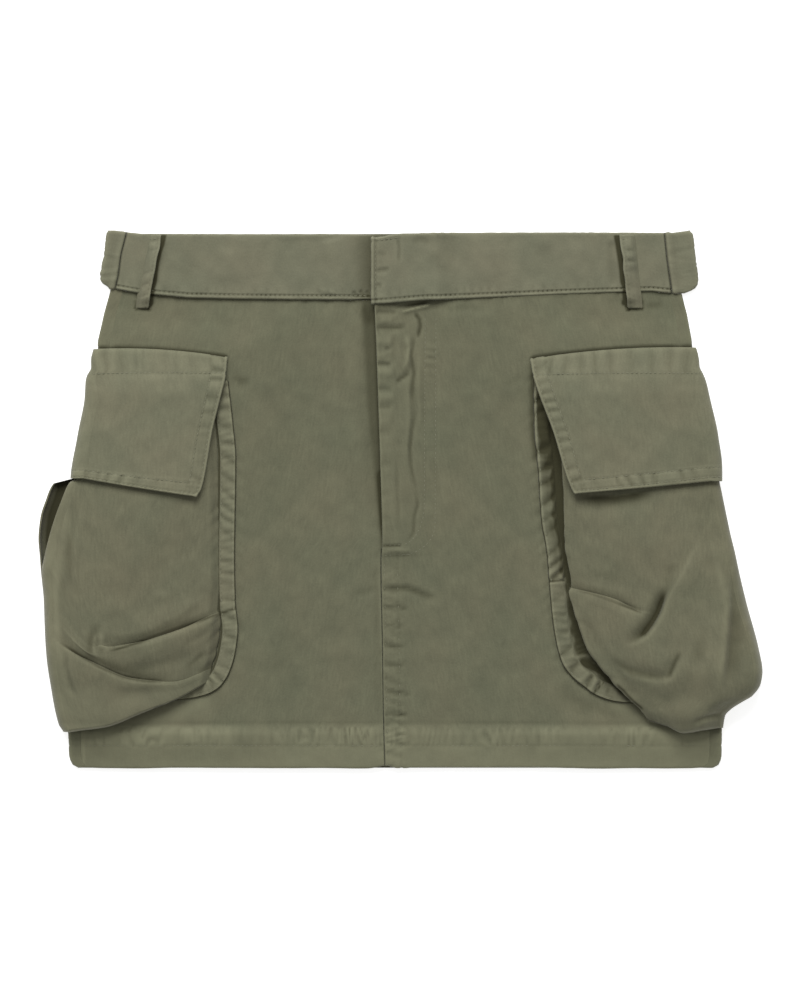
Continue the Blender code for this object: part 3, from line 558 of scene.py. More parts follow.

# Lines where the cloth is darker (below 0), as painted shade, or paler (above 0), mostly as painted light,
# given like creases.
FRONT_SHADES = {LEFT: read_creases("""
1.3 7 3 0.15 : -120,-124 -137,-133 -156,-141.4 -175,-148 -204,-151
0.9 0.6 0.9 0.1 : -205.9,-150 -206,-160 -205.2,-174
-0.8 2.6 2.6 0.4 : -110.4,80.4 -104,77.4 -97,76
-0.7 3.6 3.6 0.35 : -29,127 -23,122 -18,111
"""), RIGHT: read_creases("""
1.2 3 7 0.15 : 136,-126 148,-135 160,-144 175,-151 192,-155 208,-150
-0.9 2 2.6 0.3 : 158.6,125.6 165,126 172,127
-1.3 1 1.2 0.2 : 9,121.5 12.7,116.8 13.4,112 11.6,104
-0.8 0.9 1.1 0.3 : 10.6,108 7.4,92.6 9.3,81.8 8.3,73.7 8.2,65.6 9.7,57.5
-0.6 0.8 1.2 0.35 : 8.8,62 9.6,54 8,44 6.6,31 7.6,20 10,8 11.4,-2
-0.6 0.9 1.1 0.3 : 10.6,4 11.6,-4 9.4,-12 9,-22 3,-30
-1 0.9 1 0.25 : -3.4,75.6 1.2,78.6 5.8,81.4
-1 1 1.2 0.3 : -16,111.4 -4,111 4.2,112.4
-0.9 1 1.2 0.35 : -15.4,88 -5.4,87.2
-0.7 1 1.2 0.35 : -15,71.4 -5.4,71
-0.6 1 1.2 0.35 : -15,60.2 -5.4,60
0.5 2.2 2.2 0.3 : 2.4,108 5.4,98 3.6,88
0.45 4.6 4.6 0.1 : -10,116 -10.4,60 -8.4,0 -7.4,-22
0.5 0.9 0.9 0.2 : 0,121 9,123 20,126
-1.2 0.9 0.9 0.2 : 2,124.6 10,126.4 19,128.2
-0.8 1.6 1.8 0.25 : -17.6,123.4 -8,124.8 2,126
-1.5 0.6 0.6 0.12 : -12.4,-31 1.2,-30.2
-0.4 0.5 0.5 0.2 : -11,-37.4 8,-36.6
-0.9 0.9 2.6 0.25 : -10.6,-57.6 4,-58 14,-61 24,-65.4
-0.9 0.9 1 0.25 : -10.6,-70.4 -1,-70.4 5,-72
-0.6 0.9 1 0.25 : -10.4,-81.6 -2,-83.4 2,-81.6
-0.6 0.9 1 0.25 : -10,-95.6 -1,-96.4 4,-95
-0.5 0.9 1 0.25 : -10,-107.2 0,-108.6 4,-106.6
-0.7 0.9 1 0.25 : -9.6,-126.4 2,-126.4 7,-128
-0.6 0.9 1 0.25 : -9,-139.8 -1,-140.8 6,-140.2
""")}
FACE_SHADES = {LEFT: read_creases("""
-2.4 0.9 0.9 0.1 : -112,-73.4 -121.9,-76.6 -140.5,-82.8 -155.7,-88.2 -169,-93 -183.4,-97.4 -191,-99
-0.6 3 3.6 0.3 : -124,-74 -140.5,-79.6 -155.7,-85 -169,-90 -184,-95
-0.9 1.3 2.6 0.3 : -200.2,-84 -201.4,-92 -200.6,-100.4 -197.4,-105.6
0.8 0.8 0.8 0.3 : -195.4,-85.6 -198.2,-91 -198.6,-98.6 -195.6,-103
0.6 0.7 0.7 0.3 : -193.4,-87 -192.6,-94 -188,-98.6
-0.8 1.1 1.1 0.3 : -195.2,-89 -195.6,-96 -191.4,-100
-0.9 4.2 0.8 0.3 : -206,-100 -196,-105 -184,-110.6 -170,-114.8 -156,-116.4
-0.55 2.5 2.5 0.3 : -141,-113 -134,-107 -124.4,-98.4
-2 1.1 0.8 0.15 : -221,-92.6 -207.4,-101.8 -194.5,-109 -179.8,-115.2 -166.2,-117.9 -150,-118.4
-1 2.4 0.9 0.3 : -132,-113.6 -120,-108
0.6 2.2 2.2 0.25 : -222.4,-14 -224.4,-35 -223.6,-62 -221.6,-96 -214,-132
-0.6 2.4 2.4 0.4 : -214.4,-16 -215.6,-35 -214,-60
"""), RIGHT: read_creases("""
-2.2 1.4 4.2 0.3 : 112,1.4 124,0.8 140,1 156,3.4 168,6
-2.5 0.9 2.2 0.28 : 172,-58 169.8,-66.4 167.2,-74 162.6,-81.4 158,-87.6 152,-91.6
-0.7 1.2 4 0.3 : 176.4,-49 170.4,-64 163.4,-78.6 155,-89 144,-94
-1.1 1.7 0.7 0.2 : 112,-59 123.5,-61.6 132.8,-64.8 146.7,-70 156,-73.4 158.8,-76
-0.9 2.6 1.5 0.3 : 134.6,-99.2 142.1,-107.6 151.4,-114.1 162.5,-115.9 173,-117.2
-2.3 0.7 0.7 0.1 : 140.6,-119.2 148.2,-127.2 158.4,-137.6
0.9 0.7 0.7 0.1 : 141.6,-122.4 147.6,-129.4 157.4,-139.4
-1.3 1.4 1.3 0.3 : 171.5,-117.4 174.6,-114.6 177.4,-106.7 182.5,-97.4
-0.4 4 4 0.4 : 193,-90 193.6,-99 190,-107
0.6 2 2.4 0.25 : 201.3,-24 207.4,-49 211.6,-68 209.6,-91 207.6,-109.8 205.4,-129
-0.75 5 8 0.3 : 215,-60 218.6,-84 217,-104 214,-122
""")}
GUSSET_SHADES = {LEFT: read_creases("""
-2.2 0.5 1 0.05 : -105.6,-70.8 -112,-73 -121,-76.4
"""), RIGHT: read_creases("""
-2.2 0.5 0.5 0.05 : 96,-53.9 110.6,-53.4
0.7 0.6 0.6 0.1 : 96.4,-55 110,-54.6
-2.2 0.5 0.5 0.06 : 125.2,-126.8 132.8,-119
1 1 1.5 0.3 : 113,-103.6 118,-101.8 125,-101.4
-2.4 1.2 1.5 0.12 : 115.4,-105.2 123.3,-108.1 131.2,-112.6 139.8,-121.8 147,-129
""")}


def smooth(share):
    """0 below 0, 1 above 1, and an even S between."""
    share = np.clip(share, 0, 1)
    return share * share * (3 - 2 * share)


def spline(places, values, at):
    """A curve through the values that never swings past them. values may hold an array for each place."""
    places = np.asarray(places, float)
    at = np.clip(np.asarray(at, float), places[0], places[-1])
    values = np.asarray(values, float)
    if values.ndim == 1:
        values = values.reshape((-1,) + (1,) * at.ndim)
    values = np.broadcast_to(values, (len(places),) + np.broadcast_shapes(values.shape[1:], at.shape))
    at = np.broadcast_to(at, values.shape[1:])
    steps = np.diff(places).reshape((-1,) + (1,) * at.ndim)
    slopes = np.diff(values, axis=0) / steps
    turns = np.concatenate((slopes[:1], slopes))
    before, after = slopes[:-1], slopes[1:]
    both = np.where(before * after > 0, before + after, 1)
    turns[1:-1] = np.where(before * after > 0, 2 * before * after / both, 0)
    index = np.clip(np.searchsorted(places, at, side="right") - 1, 0, len(places) - 2)
    run = places[index + 1] - places[index]
    t = (at - places[index]) / run

    def pick(table, shift=0):
        return np.take_along_axis(table, (index + shift)[None], axis=0)[0]

    return (
        pick(values) * (1 + 2 * t) * (1 - t) ** 2
        + pick(values, 1) * t * t * (3 - 2 * t)
        + run * pick(turns) * t * (1 - t) ** 2
        - run * pick(turns, 1) * t * t * (1 - t)
    )


def column(table, name):
    """One column of a table."""
    return [getattr(row, name) for row in table]


def read(table, name, at):
    """One column of a table, read smoothly at a place in its first column."""
    return spline([row[0] for row in table], column(table, name), at)


def read_straight(table, name, at):
    """One column of a table, read along straight lines."""
    return np.interp(at, [row[0] for row in table], column(table, name))


NOISE_GRID = 64


def noise(seed, u, v, pitch):
    """Smooth heights from -1 to 1 that change over about one pitch."""
    grid = np.random.default_rng(seed).uniform(-1, 1, (NOISE_GRID, NOISE_GRID))
    u, v = np.broadcast_arrays(np.asarray(u, float) / pitch + 31.4, np.asarray(v, float) / pitch + 17.3)
    i, j = np.floor(u).astype(int), np.floor(v).astype(int)
    a, b = smooth(u - i), smooth(v - j)
    i, j, k, m = i % NOISE_GRID, j % NOISE_GRID, (i + 1) % NOISE_GRID, (j + 1) % NOISE_GRID
    near = grid[i, j] * (1 - a) + grid[k, j] * a
    far = grid[i, m] * (1 - a) + grid[k, m] * a
    return near * (1 - b) + far * b


def puckers(seed, along, across, pitch, lean=0):
    """Round ridges with narrow troughs across a seam, from -1 to 1. Their spacing, height and slant drift."""
    drift = 0.8 * noise(seed, along, 0, 3.1 * pitch)
    drift = drift + 0.4 * noise(seed + 1, along, 0.15 * across, 1.3 * pitch)
    slant = lean * (1 + 1.1 * noise(seed + 2, along, 0, 2.3 * pitch)) * across / pitch
    ridge = np.abs(np.cos(math.pi * (along / pitch + drift + slant)))
    height = np.clip(0.6 + 0.7 * noise(seed + 3, along, 0.3 * across, 1.5 * pitch), 0.06, 1.2)
    return (2 * ridge - 1) * height


def stitch_line(along, across, depth=0.6):
    """Furrow of a row of stitches, deepest at the holes between them."""
    return -depth * groove(across, 0.75) * (0.4 + 0.6 * np.cos(math.pi * along / 3) ** 2)


def band_of(distance, low, high, fade):
    """1 between low and high, fading over fade outside them."""
    return smooth((distance - low) / fade + 1) * smooth((high - distance) / fade + 1)


def groove(distance, width):
    """1 at distance 0, falling to nothing over about two widths."""
    return np.exp(-((distance / width) ** 2))


def crease_relief(table, x, y):
    """Height of all a table's creases at each point."""
    total = np.zeros(np.broadcast_shapes(np.shape(x), np.shape(y)))
    for crease in table:
        runs = np.hypot(*np.diff(crease.points, axis=0).T)
        nearest = np.full(total.shape, np.inf)
        side = np.zeros(total.shape)
        along = np.zeros(total.shape)
        done = 0
        for (x0, y0), (x1, y1), run in zip(crease.points, crease.points[1:], runs):
            dx, dy = (x1 - x0) / run, (y1 - y0) / run
            forward = (x - x0) * dx + (y - y0) * dy
            t = np.clip(forward, 0, run)
            away = np.hypot(x - x0 - t * dx, y - y0 - t * dy)
            closer = away < nearest
            nearest = np.where(closer, away, nearest)
            side = np.where(closer, (y - y0) * dx - (x - x0) * dy, side)
            along = np.where(closer, done + t, along)
            done += run
        share = along / runs.sum()
        fade = smooth(share / crease.ends) * smooth((1 - share) / crease.ends)
        spread = crease.right + (crease.left - crease.right) * smooth(side / 1.2 + 0.5)
        total += crease.high * fade * groove(nearest, spread)
    return total


def marks_along(points):
    """Distance of each point of a line from its first."""
    return np.concatenate(((0,), np.cumsum(np.hypot(*np.diff(points, axis=0).T))))


def lattice(x, y, z):
    """Points of a lattice from their coordinates, each spread over the whole."""
    return np.stack(np.broadcast_arrays(x, y, z), -1)


def joined(*parts):
    """Arrays set side by side, each spread over the rows of the tallest."""
    rows = max(len(part) for part in parts)
    return np.concatenate([np.broadcast_to(part, (rows, part.shape[1])) for part in parts], axis=1)


def grid_faces(rows, columns):
    """The numbers of a lattice's points, and its faces of four corners."""
    index = np.arange(rows * columns).reshape(rows, columns)
    corners = (index[:-1, :-1], index[:-1, 1:], index[1:, 1:], index[1:, :-1])
    return index, np.stack(corners, -1).reshape(-1, 4)


def edge_drop(distance, radius=EDGE_ROUND):
    """How far a rounded edge falls at a distance in from it."""
    d = np.clip(distance, 0, radius)
    return radius - np.sqrt(radius**2 - (radius - d) ** 2)


EDGE_STEPS = np.array((0, 0.06, 0.22, 0.5, 0.9))


def stations(start, stop, fine, coarse, zones=()):
    """Places from start to stop, fine apart inside the zones, coarser away from them, closest at the ends."""
    inset = EDGE_STEPS[-1] + fine
    places = [start + inset]
    while places[-1] < stop - inset:
        here = places[-1]
        away = min([max(low - here, here - high, 0) for low, high in zones], default=1000)
        places.append(here + min(coarse, fine + 0.25 * away))
    places = np.array(places)
    places = places[0] + (places - places[0]) * (stop - inset - places[0]) / (places[-1] - places[0])
    return np.concatenate((start + EDGE_STEPS, places, stop - EDGE_STEPS[::-1]))


def lift(x, y):
    """How far the back panel is lifted off the surface by the pocket and flap under it."""
    across = smooth((np.abs(x) - 66) / 40)
    above = smooth((y - 97) / 30)
    below = smooth((-150 - y) / 25)
    return POCKET_LIFT * across * (1 - above) * (1 - below)


def wall(y):
    """Thickness of the body: the hem is turned up."""
    return CLOTH + (HEM - CLOTH) * smooth((HEM_TOP + 2 - y) / 9)


def above_hem(y):
    """0 at the hem's fold, 1 well above it."""
    return smooth((y - HEM_LOW) / 50)


def puff(x, y):
    """How far the front panels stand off the back panel between the side seams."""
    left = read_straight(BODY, "left", y) + SIDE_SEAM_IN
    right = read_straight(BODY, "right", y) - SIDE_SEAM_IN
    across = np.clip((2 * x - left - right) / (right - left), -1, 1)
    return FRONT_PUFF * (1 - across**4) * (0.45 + 0.55 * above_hem(y))


def front_under(x, y):
    """Height of the underside of the front panels."""
    return lift(x, y) + wall(y) + GAP + puff(x, y)


def front_top(x, y):
    """Height of the upper side of the front panels."""
    return front_under(x, y) + wall(y)


def lattice_normals(points, away):
    """Unit normals of a lattice, on the side that away points to."""
    across = np.gradient(points, axis=1)
    down = np.gradient(points, axis=0)
    normal = np.cross(across, down)
    normal /= np.maximum(np.linalg.norm(normal, axis=2, keepdims=True), 1e-9)
    return normal * (1 if (normal * away).sum() > 0 else -1)


def blurred(values, passes):
    """A lattice of numbers, each blurred into its neighbours."""
    for _ in range(passes):
        values = np.pad(values, 1, mode="edge")
        values = (values[:-2] + 2 * values[1:-1] + values[2:]) / 4
        values = (values[:, :-2] + 2 * values[:, 1:-1] + values[:, 2:]) / 4
    return values


def ridges(points, away):
    """How strongly each point stands on a ridge (above 0) or in a groove (below 0)."""
    across = np.gradient(points, axis=1)
    down = np.gradient(points, axis=0)
    normal = lattice_normals(points, away)
    bend = np.zeros(points.shape[:2])
    for step, axis in ((across, 1), (down, 0)):
        size = np.maximum((step**2).sum(2), 0.01)
        bend += (np.gradient(normal, axis=axis) * step).sum(2) / size
    level = (points * normal).sum(2) - (blurred_points(points, 14) * normal).sum(2)
    return 0.5 * np.tanh(1.6 * bend) + 0.32 * np.tanh(level / 1.3)


def blurred_points(points, passes):
    """Lattice points, each blurred into its neighbours."""
    return np.stack([blurred(points[..., axis], passes) for axis in range(3)], -1)


def unfolded(points):
    """Place of each lattice point on the flat cloth, across and along."""
    across = np.cumsum(np.linalg.norm(np.diff(points, axis=1, prepend=points[:, :1]), axis=2), axis=1)
    along = np.cumsum(np.linalg.norm(np.diff(points, axis=0, prepend=points[:1]), axis=2), axis=0)
    middle_row, middle_column = points.shape[0] // 2, points.shape[1] // 2
    return across - across[:, middle_column, None], along - along[middle_row]


# Outer lattices of the finished pieces, and each flap's distances down, up and in from its edges.
LATTICES = {}
LATTICE_MARKS = {}


def make_piece(name, outer, inner, relief, kind, across_grain=False, tone=0, inner_painted_shading=0,
               hollow=False):
    """A closed cloth shell between two lattices, raised along its outer normals by relief. Its tones for the
    outer and the inner cloth make them paler (above 0) or darker (below 0), mostly as painted light and
    shade. Over a hollow, the inner cloth follows the outer down into its creases."""
    away = outer - inner
    u, v = unfolded(outer)
    normal = lattice_normals(outer, away)
    relief = np.broadcast_to(relief, outer.shape[:2])
    face = outer + normal * relief[..., None]
    if hollow:
        room = np.linalg.norm(away, axis=2) - CLOTH / 2
        inner = inner + normal * np.minimum(relief + room, 0)[..., None]
    # Paler on ridges and raised parts, for wear and painted light; darker in grooves and hollows as painted
    # shade; then the tone's painted light and shade.
    wear_and_painted_shading = ridges(face, away) + tone
    inner_painted_shading = np.broadcast_to(inner_painted_shading, outer.shape[:2])
    LATTICES[name] = face
    index, quads = grid_faces(*face.shape[:2])
    rim = np.concatenate((index[0, :-1], index[:-1, -1], index[-1, :0:-1], index[:0:-1, 0]))
    after = np.roll(rim, -1)
    sides = np.stack((after, rim, rim + index.size, after + index.size), -1)
    polygons = np.concatenate((quads, quads[:, ::-1] + index.size, sides))
    points = np.concatenate((face.reshape(-1, 3), inner.reshape(-1, 3)))
    corners = points[polygons]
    first, second, third = (corners[:, c] - corners[:, 0] for c in (1, 2, 3))
    volume = (corners[:, 0] * (np.cross(first, second) + np.cross(second, third))).sum() / 6
    if volume < 0:
        polygons = polygons[:, ::-1]
    if across_grain:
        u, v = v, u
    place = lattice(u, v, 0).reshape(-1, 3)
    piece = mesh_object(name + "_cloth", points, polygons)
    add_values(piece.data, "cloth", "FLOAT_VECTOR", np.concatenate((place, place)))
    add_values(piece.data, "ridge", "FLOAT", np.concatenate((wear_and_painted_shading.ravel(), inner_painted_shading.ravel())))
    piece.data.set_sharp_from_angle(angle=math.radians(60))
    piece.data.materials.append(shared_finish(kind))
    finish_piece(piece, KINDS[kind].slot, name)


def mesh_object(name, points, polygons):
    """A smooth-shaded mesh object from points in millimetres and faces of four corners."""
    mesh = bpy.data.meshes.new(name)
    mesh.vertices.add(len(points))
    mesh.vertices.foreach_set("co", (points * MM).astype(np.float32).ravel())
    mesh.loops.add(polygons.size)
    mesh.loops.foreach_set("vertex_index", polygons.astype(np.int32).ravel())
    mesh.polygons.add(len(polygons))
    mesh.polygons.foreach_set("loop_start", np.arange(0, polygons.size, polygons.shape[1], dtype=np.int32))
    mesh.update(calc_edges=True)
    mesh.validate()
    mesh.shade_smooth()
    piece = bpy.data.objects.new(name, mesh)
    bpy.context.scene.collection.objects.link(piece)
    return piece


def add_values(mesh, name, kind, values):
    """Stores one value for each point of a mesh, under a name."""
    layer = mesh.attributes.new(name, kind, "POINT")
    layer.data.foreach_set("vector" if kind == "FLOAT_VECTOR" else "value", values.astype(np.float32).ravel())


def finish_piece(piece, slot, *stands_for):
    """Ties a piece to the skirt's one body."""
    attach(piece, "root")
    if stands_for:
        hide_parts(*stands_for)


# Body panels.


def waist_low(x):
    """Height y of the waistband's lower edge."""
    return read_straight(WAIST, "low", x)


def risen(rows, low, gap=GAP):
    """Where a panel's rows lie once its top follows the waistband's lower edge."""
    return rows + (low - gap - PANEL_TOP) * smooth((rows - 60) / (PANEL_TOP - 60))


def side_fold(way, rows):
    """Place x of the body's side fold on a panel's rows."""
    return read_straight(BODY, "left" if way < 0 else "right", risen(rows, waist_low(way * 190)))


def panel_lattice(way, rows, columns):
    """Places x, y of a front panel's lattice."""
    centre = read(CENTRE_FRONT, "x", rows)
    seam = side_fold(way, rows) - way * (SIDE_SEAM_IN + SEAM_SHUT)
    if way < 0:
        edge = centre - GAP / 2 + (FLY_UNDERLAP + GAP / 2) * smooth((rows - FLY_FOOT) / 8)
    else:
        edge = centre + GAP / 2
    x = edge[:, None] + (seam - edge)[:, None] * columns[None, :] / PANEL_WIDTH
    y = risen(rows[:, None], waist_low(x), SEAM_SHUT)
    notch = 1.5 * groove(x + 9.8, 6) * (1 - smooth((rows[:, None] - HEM_LOW) / 14))
    return x, y + notch


def open_share(x, y):
    """1 where a front panel shows, 0 under a pocket or flap."""
    left = smooth((-102 - x) / 5) * band_of(y, -128, 92, 7)
    right = smooth((1 - beside_pocket(RIGHT, x, y)) / 5) * band_of(y, -132, 92, 7)
    return 1 - np.maximum(left, right)


def hem_rope(x, y):
    """Puckers of the turned-up hem between its fold and its stitches."""
    foot = -160 + 1.6 * noise(103, x, 0, 9)
    rope = puckers(101, x, y + 152, 7.6, 0.12) * band_of(y, foot + 2, -150.5, 2)
    fine = puckers(111, x, y, 3.9, -0.2) * band_of(y, foot, -149.5, 2)
    patch = 0.6 + 0.6 * noise(115, x, 0, 27)
    return (0.55 * rope + 0.7 * fine) * patch


def hem_relief(x, y, depth):
    """Turned-up hem: a puckered ridge under its upper fold, its stitch line and the plainer edge."""
    low = noise(121, x, y * 0.5, 15) * band_of(y, -172, -164, 3)
    step = -0.3 * groove(y - HEM_TOP - 0.6, 1.2) * (0.5 + 0.8 * noise(117, x, 0, 30))
    return depth * (hem_rope(x, y) + 0.3 * low) + step + stitch_line(x, y - HEM_STITCH, 0.25)


def body_undulation(x, y):
    """Soft unevenness of a large panel."""
    return 0.6 * noise(131, x, y, 52) + 0.26 * noise(132, x, y, 23) + 0.07 * noise(133, x, y, 9)


def beside_pocket(way, x, y):
    """Distance from a gusset's sewn edge, over the front panel."""
    return -way * (x - np.interp(y, column(GUSSETS[way], "y")[::-1], column(GUSSETS[way], "x")[::-1]))


def flap_top(way, x):
    """Height y of a flap's sewn top."""
    first = FLAPS[way][0]
    share = np.clip((x - first.x_in) / (first.x_side - first.x_in), -0.05, 1.05)
    return first.y_in + (first.y_side - first.y_in) * share + first.bow * 4 * share * (1 - share)


def flap_furrow(way, x, y):
    """Depth of the dip that a flap's sewn top presses into the panel above it."""
    return 0.8 * groove(y - flap_top(way, x) - 0.7, 1.1)


def above_flaps(x, y):
    """Painted shadow on the panels along the sewn tops of the flaps."""
    left = groove(y - flap_top(LEFT, x) - 0.2, 1.3) * smooth((-x - 111) / 1.5)
    right = groove(y - flap_top(RIGHT, x) - 0.2, 1.3) * smooth((x - 84) / 1.5)
    return -2.3 * (left + right)


def beside_loops(x, y):
    """1 in the painted shade along the belt loops' inner edges, under their feet and beside their outer feet.
    """
    shade = 0
    for way, side in SIDE.items():
        edge = read(LOOPS, side, np.clip(y, LOOPS[0].y, LOOPS[-1].y)) - way * LOOP_WIDTH / 2
        away = way * (edge - x)
        wide = read_straight(LOOPS, "shade", y) * (1.4 if way > 0 else 0.9)
        wide = wide + 0.6 * noise(421 + way, y, 0, 6)
        shade = shade + smooth(away + 1) * smooth((wide + 0.9 - away) / 1.9) * band_of(y, 122.6, 171, 1.2)
        under = groove(y - LOOPS[0].y + 0.6, 0.8) * band_of(away, -LOOP_WIDTH, 0, 0.6)
        outer = groove(away + LOOP_WIDTH + 0.4, 0.8) * band_of(y, 124, 128.6, 1)
        shade = shade + 0.8 * under + 0.6 * outer
    return np.minimum(shade, 1)


def front_tone(way, x, y):
    """Painted light and shade of a front: a paler hem with painted light on its puckers and where the
    pockets' shadows fall, a paler fly, and painted shade under the waistband, above the flaps, beside the
    loops and the right pocket's edge, in the fly's gap and along its creases.
    """
    under_band = np.maximum(waist_low(x) - y, 0)
    tone = 0.62 * smooth((HEM_TOP + 1 - y) / 9) - 0.6 * groove(under_band, 1.5) + above_flaps(x, y)
    tone = tone + 0.6 * np.clip(hem_rope(x, y), -0.3, 1.1) + 0.25 * smooth((HEM_STITCH + 1 - y) / 5)
    tone = tone - 3 * beside_loops(x, y)
    if way > 0:
        beside = beside_pocket(way, x, y)
        tone = tone - 1.7 * groove(np.maximum(beside, 0), 2.4) * band_of(y, 30, 84, 9)
        tone = tone + 0.35 * band_of(x, 96, 212, 12) * smooth((HEM_TOP + 1 - y) / 4)
        return tone + crease_relief(FRONT_SHADES[way], x, y)
    away = read(CENTRE_FRONT, "x", y) - x
    wide = np.interp(y, (-24, -6, 20, 60, 110), (0.4, 1.6, 4, 7, 8))
    gap = 1.1 * smooth((wide + 2.2 - away) / 4.4) + 0.8 * groove(away, 2.4)
    slit = 1.6 * groove(away, 1.2 + 1.4 * smooth((y + 24) / 24)) * band_of(y, -29, 14, 6)
    lit = 0.55 * band_of(x, -208, -112, 6) * smooth((HEM_TOP + 1 - y) / 3)
    tone = tone + crease_relief(FRONT_SHADES[way], x, y)
    return tone - gap * smooth((y + 30) / 14) - slit + lit * smooth((y + 166) / 9)


def front_relief(way, x, y, depth):
    """Hem, puckers under the band, beside the pocket and along the centre, and the creases."""
    away = np.abs(x - read(CENTRE_FRONT, "x", y))
    relief = body_undulation(x, y) + hem_relief(x, y, depth)
    under_band = waist_low(x) - y
    relief += depth * 0.5 * puckers(141, x, under_band, 12.5, 0.3) * groove(under_band, 6)
    beside = beside_pocket(way, x, y)
    pulls = puckers(151, y, beside, 9.5, 0.6) * groove(beside, 6) * band_of(y, -120, 80, 6)
    relief += depth * 0.7 * pulls - 0.7 * groove(beside - 0.8, 1.3) * band_of(y, -122, 78, 5)
    if way < 0:
        below = 1 - smooth((y - FLY_FOOT) / 8)
        relief -= 0.5 * np.exp(-away / 3) * below
        relief += depth * 0.4 * puckers(161, y, away, 10, 0.5) * np.exp(-away / 5) * below
    else:
        below = 1 - smooth((y - FLY_FOOT + 4) / 6)
        felled = smooth(away / 1.6) * (1 - smooth((away - 9) / 8.5))
        relief += depth * below * felled * (0.4 + puckers(171, y, away, 8.2, 0.4))
        relief += depth * below * felled * 0.5 * puckers(175, y, away, 4.3, -0.3)
        relief += below * sum(stitch_line(y, away - row, 0.5) for row in CENTRE_ROWS)
        # Between the two rows of the fly's curved stitching.
        (inner_y, inner_x), (outer_y, outer_x) = fly_rows()
        inner = np.interp(y, inner_y, inner_x) - x
        outer = x - np.interp(y, outer_y, outer_x)
        inside = smooth(-inner / 1.5 + 0.5) * smooth(-outer / 1.5 + 0.5) * smooth((y + 22) / 8)
        relief += depth * 0.7 * inside * (0.3 + 0.7 * noise(183, x, y, 18)) * puckers(181, y, x, 6.6, 0.1)
        curve = smooth((y + 14) / 8) * band_of(y, -12, 104, 8)
        relief += (stitch_line(y, inner, 0.25) + stitch_line(y, outer, 0.25)) * curve
    relief += crease_relief(FRONT_CREASES[way], x, y)
    relief = relief * open_share(x, y)
    flap_in = 84 if way > 0 else 111.5
    return relief - flap_furrow(way, x, y) * smooth((way * x - flap_in) / 2)


def fly_rows():
    """The two curved rows of the fly's stitching, each as (heights y going up, places x)."""
    turn = np.linspace(0, 1, 15) * math.pi / 2
    rows = []
    for stand, foot in ((15.8, -30.5), (22.8, -36.8)):
        corner_x = -1 + (stand + 1) * np.sin(turn)
        corner_y = foot + (20 + (foot + 36.8)) * (1 - np.cos(turn))
        rows.append((np.append(corner_y, 118), np.append(corner_x, stand + 0.6)))
    return rows


def fly_lap(x, y):
    """Rise of the right front where it laps over the left, down to the foot of the fly."""
    centre = read(CENTRE_FRONT, "x", y)
    flat = centre + FLY_LAP_FLAT
    across = 1 - smooth((x - flat) / (FLY_LAP_END - flat))
    lip = FLY_LIP * np.exp(-np.maximum(x - centre, 0) / 8) * smooth((y - FLY_FOOT) / 46)
    return (FLY_LAP * across + lip) * smooth((y - FLY_FOOT + 5) / 5)


def panel_sink(way, x, y):
    """How far a front panel sinks toward the back: under the waistband's edge, and beside the fly."""
    sink = 0.9 * (puff(x, y) / FRONT_PUFF) * groove(np.maximum(waist_low(x) - y, 0), 8)
    if way < 0:
        away = read(CENTRE_FRONT, "x", y) - x
        sink = np.maximum(sink, 1.25 * groove(np.maximum(away - 3, 0), 6) * smooth((y + 26) / 50))
    return sink


def front_panel(way, sizes):
    """A front, sewn to the back at its side; the right one laps over the left at the fly."""
    rows = stations(HEM_LOW, PANEL_TOP, 0.9, 1.75, (HEM_ZONE, (88, 101), WAIST_ZONE, (-36, -26)))
    columns = stations(0, PANEL_WIDTH, 0.9, 1.5, ((0, 40),))
    x, y = panel_lattice(way, rows, columns)
    lap = fly_lap(x, y) if way > 0 else 0
    at_hem = smooth((HEM_TOP + 2 - rows) / 3)[:, None]
    side_seam = edge_drop(PANEL_WIDTH - columns, 0.5)[None, :] * (0.03 + 0.25 * at_hem)
    fall = edge_drop(columns)[None, :] + side_seam + edge_drop(rows - HEM_LOW, FOLD_ROUND)[:, None]
    under = front_under(x, y) + lap - panel_sink(way, x, y)
    thick = front_top(x, y) - front_under(x, y)
    outer = lattice(x, y, under + thick - fall)
    inner = lattice(x, y, under)
    relief = front_relief(way, x, y, sizes.pucker_depth / MM)
    if way > 0:
        # The cloth under the fly's deep creases goes down with them.
        inner[..., 2] = np.minimum(inner[..., 2], outer[..., 2] + np.maximum(relief, -1.5) - 0.35)
    else:
        relief = np.maximum(relief, -0.62 * thick)
    relief = np.maximum(relief, -1.5) * smooth(columns / 1.2 + 0.15)[None, :]
    relief = relief * smooth((PANEL_WIDTH - columns) / 7)[None, :]
    outer[..., 2] += 0.55 * puff(x, np.zeros_like(y)) * (1 - above_hem(y))
    make_piece("front_" + SIDE[way], outer, inner, relief, "panel",
               tone=front_tone(way, x, y))


def wrapped(left, right, seam_left, seam_right, thick, step):
    """Section of a piece that wraps both side folds up to its front seams: x and height of the outer and
    the inner surface, one row for each value in left."""
    turns = np.radians(np.linspace(90, -90, 11))
    radius = thick + GAP / 2
    small = GAP / 2
    reach = np.array((0, 0.03, 0.08, 0.17, 0.32, 0.54, 0.78))
    span = np.linspace(0, 1, int((right - left).max() / step))[1:-1]

    def side(fold, seam, way):
        centre = fold - way * radius
        start = seam + (centre - seam) * reach
        high = radius + radius * np.sin(turns)
        low = radius + small * np.sin(turns)
        return (
            joined(start, centre + way * radius * np.cos(turns)),
            joined(np.broadcast_to(2 * radius, start.shape), high),
            joined(start, centre + way * small * np.cos(turns)),
            joined(np.broadcast_to(radius + small, start.shape), low),
        )

    first = side(left, seam_left, LEFT)
    last = [part[:, ::-1] for part in side(right, seam_right, RIGHT)]
    flat = left + radius + (right - left - 2 * radius) * span
    zero = np.zeros_like(flat)
    return [joined(a, middle, b) for a, middle, b in zip(first, (flat, zero, flat, zero + thick), last)]


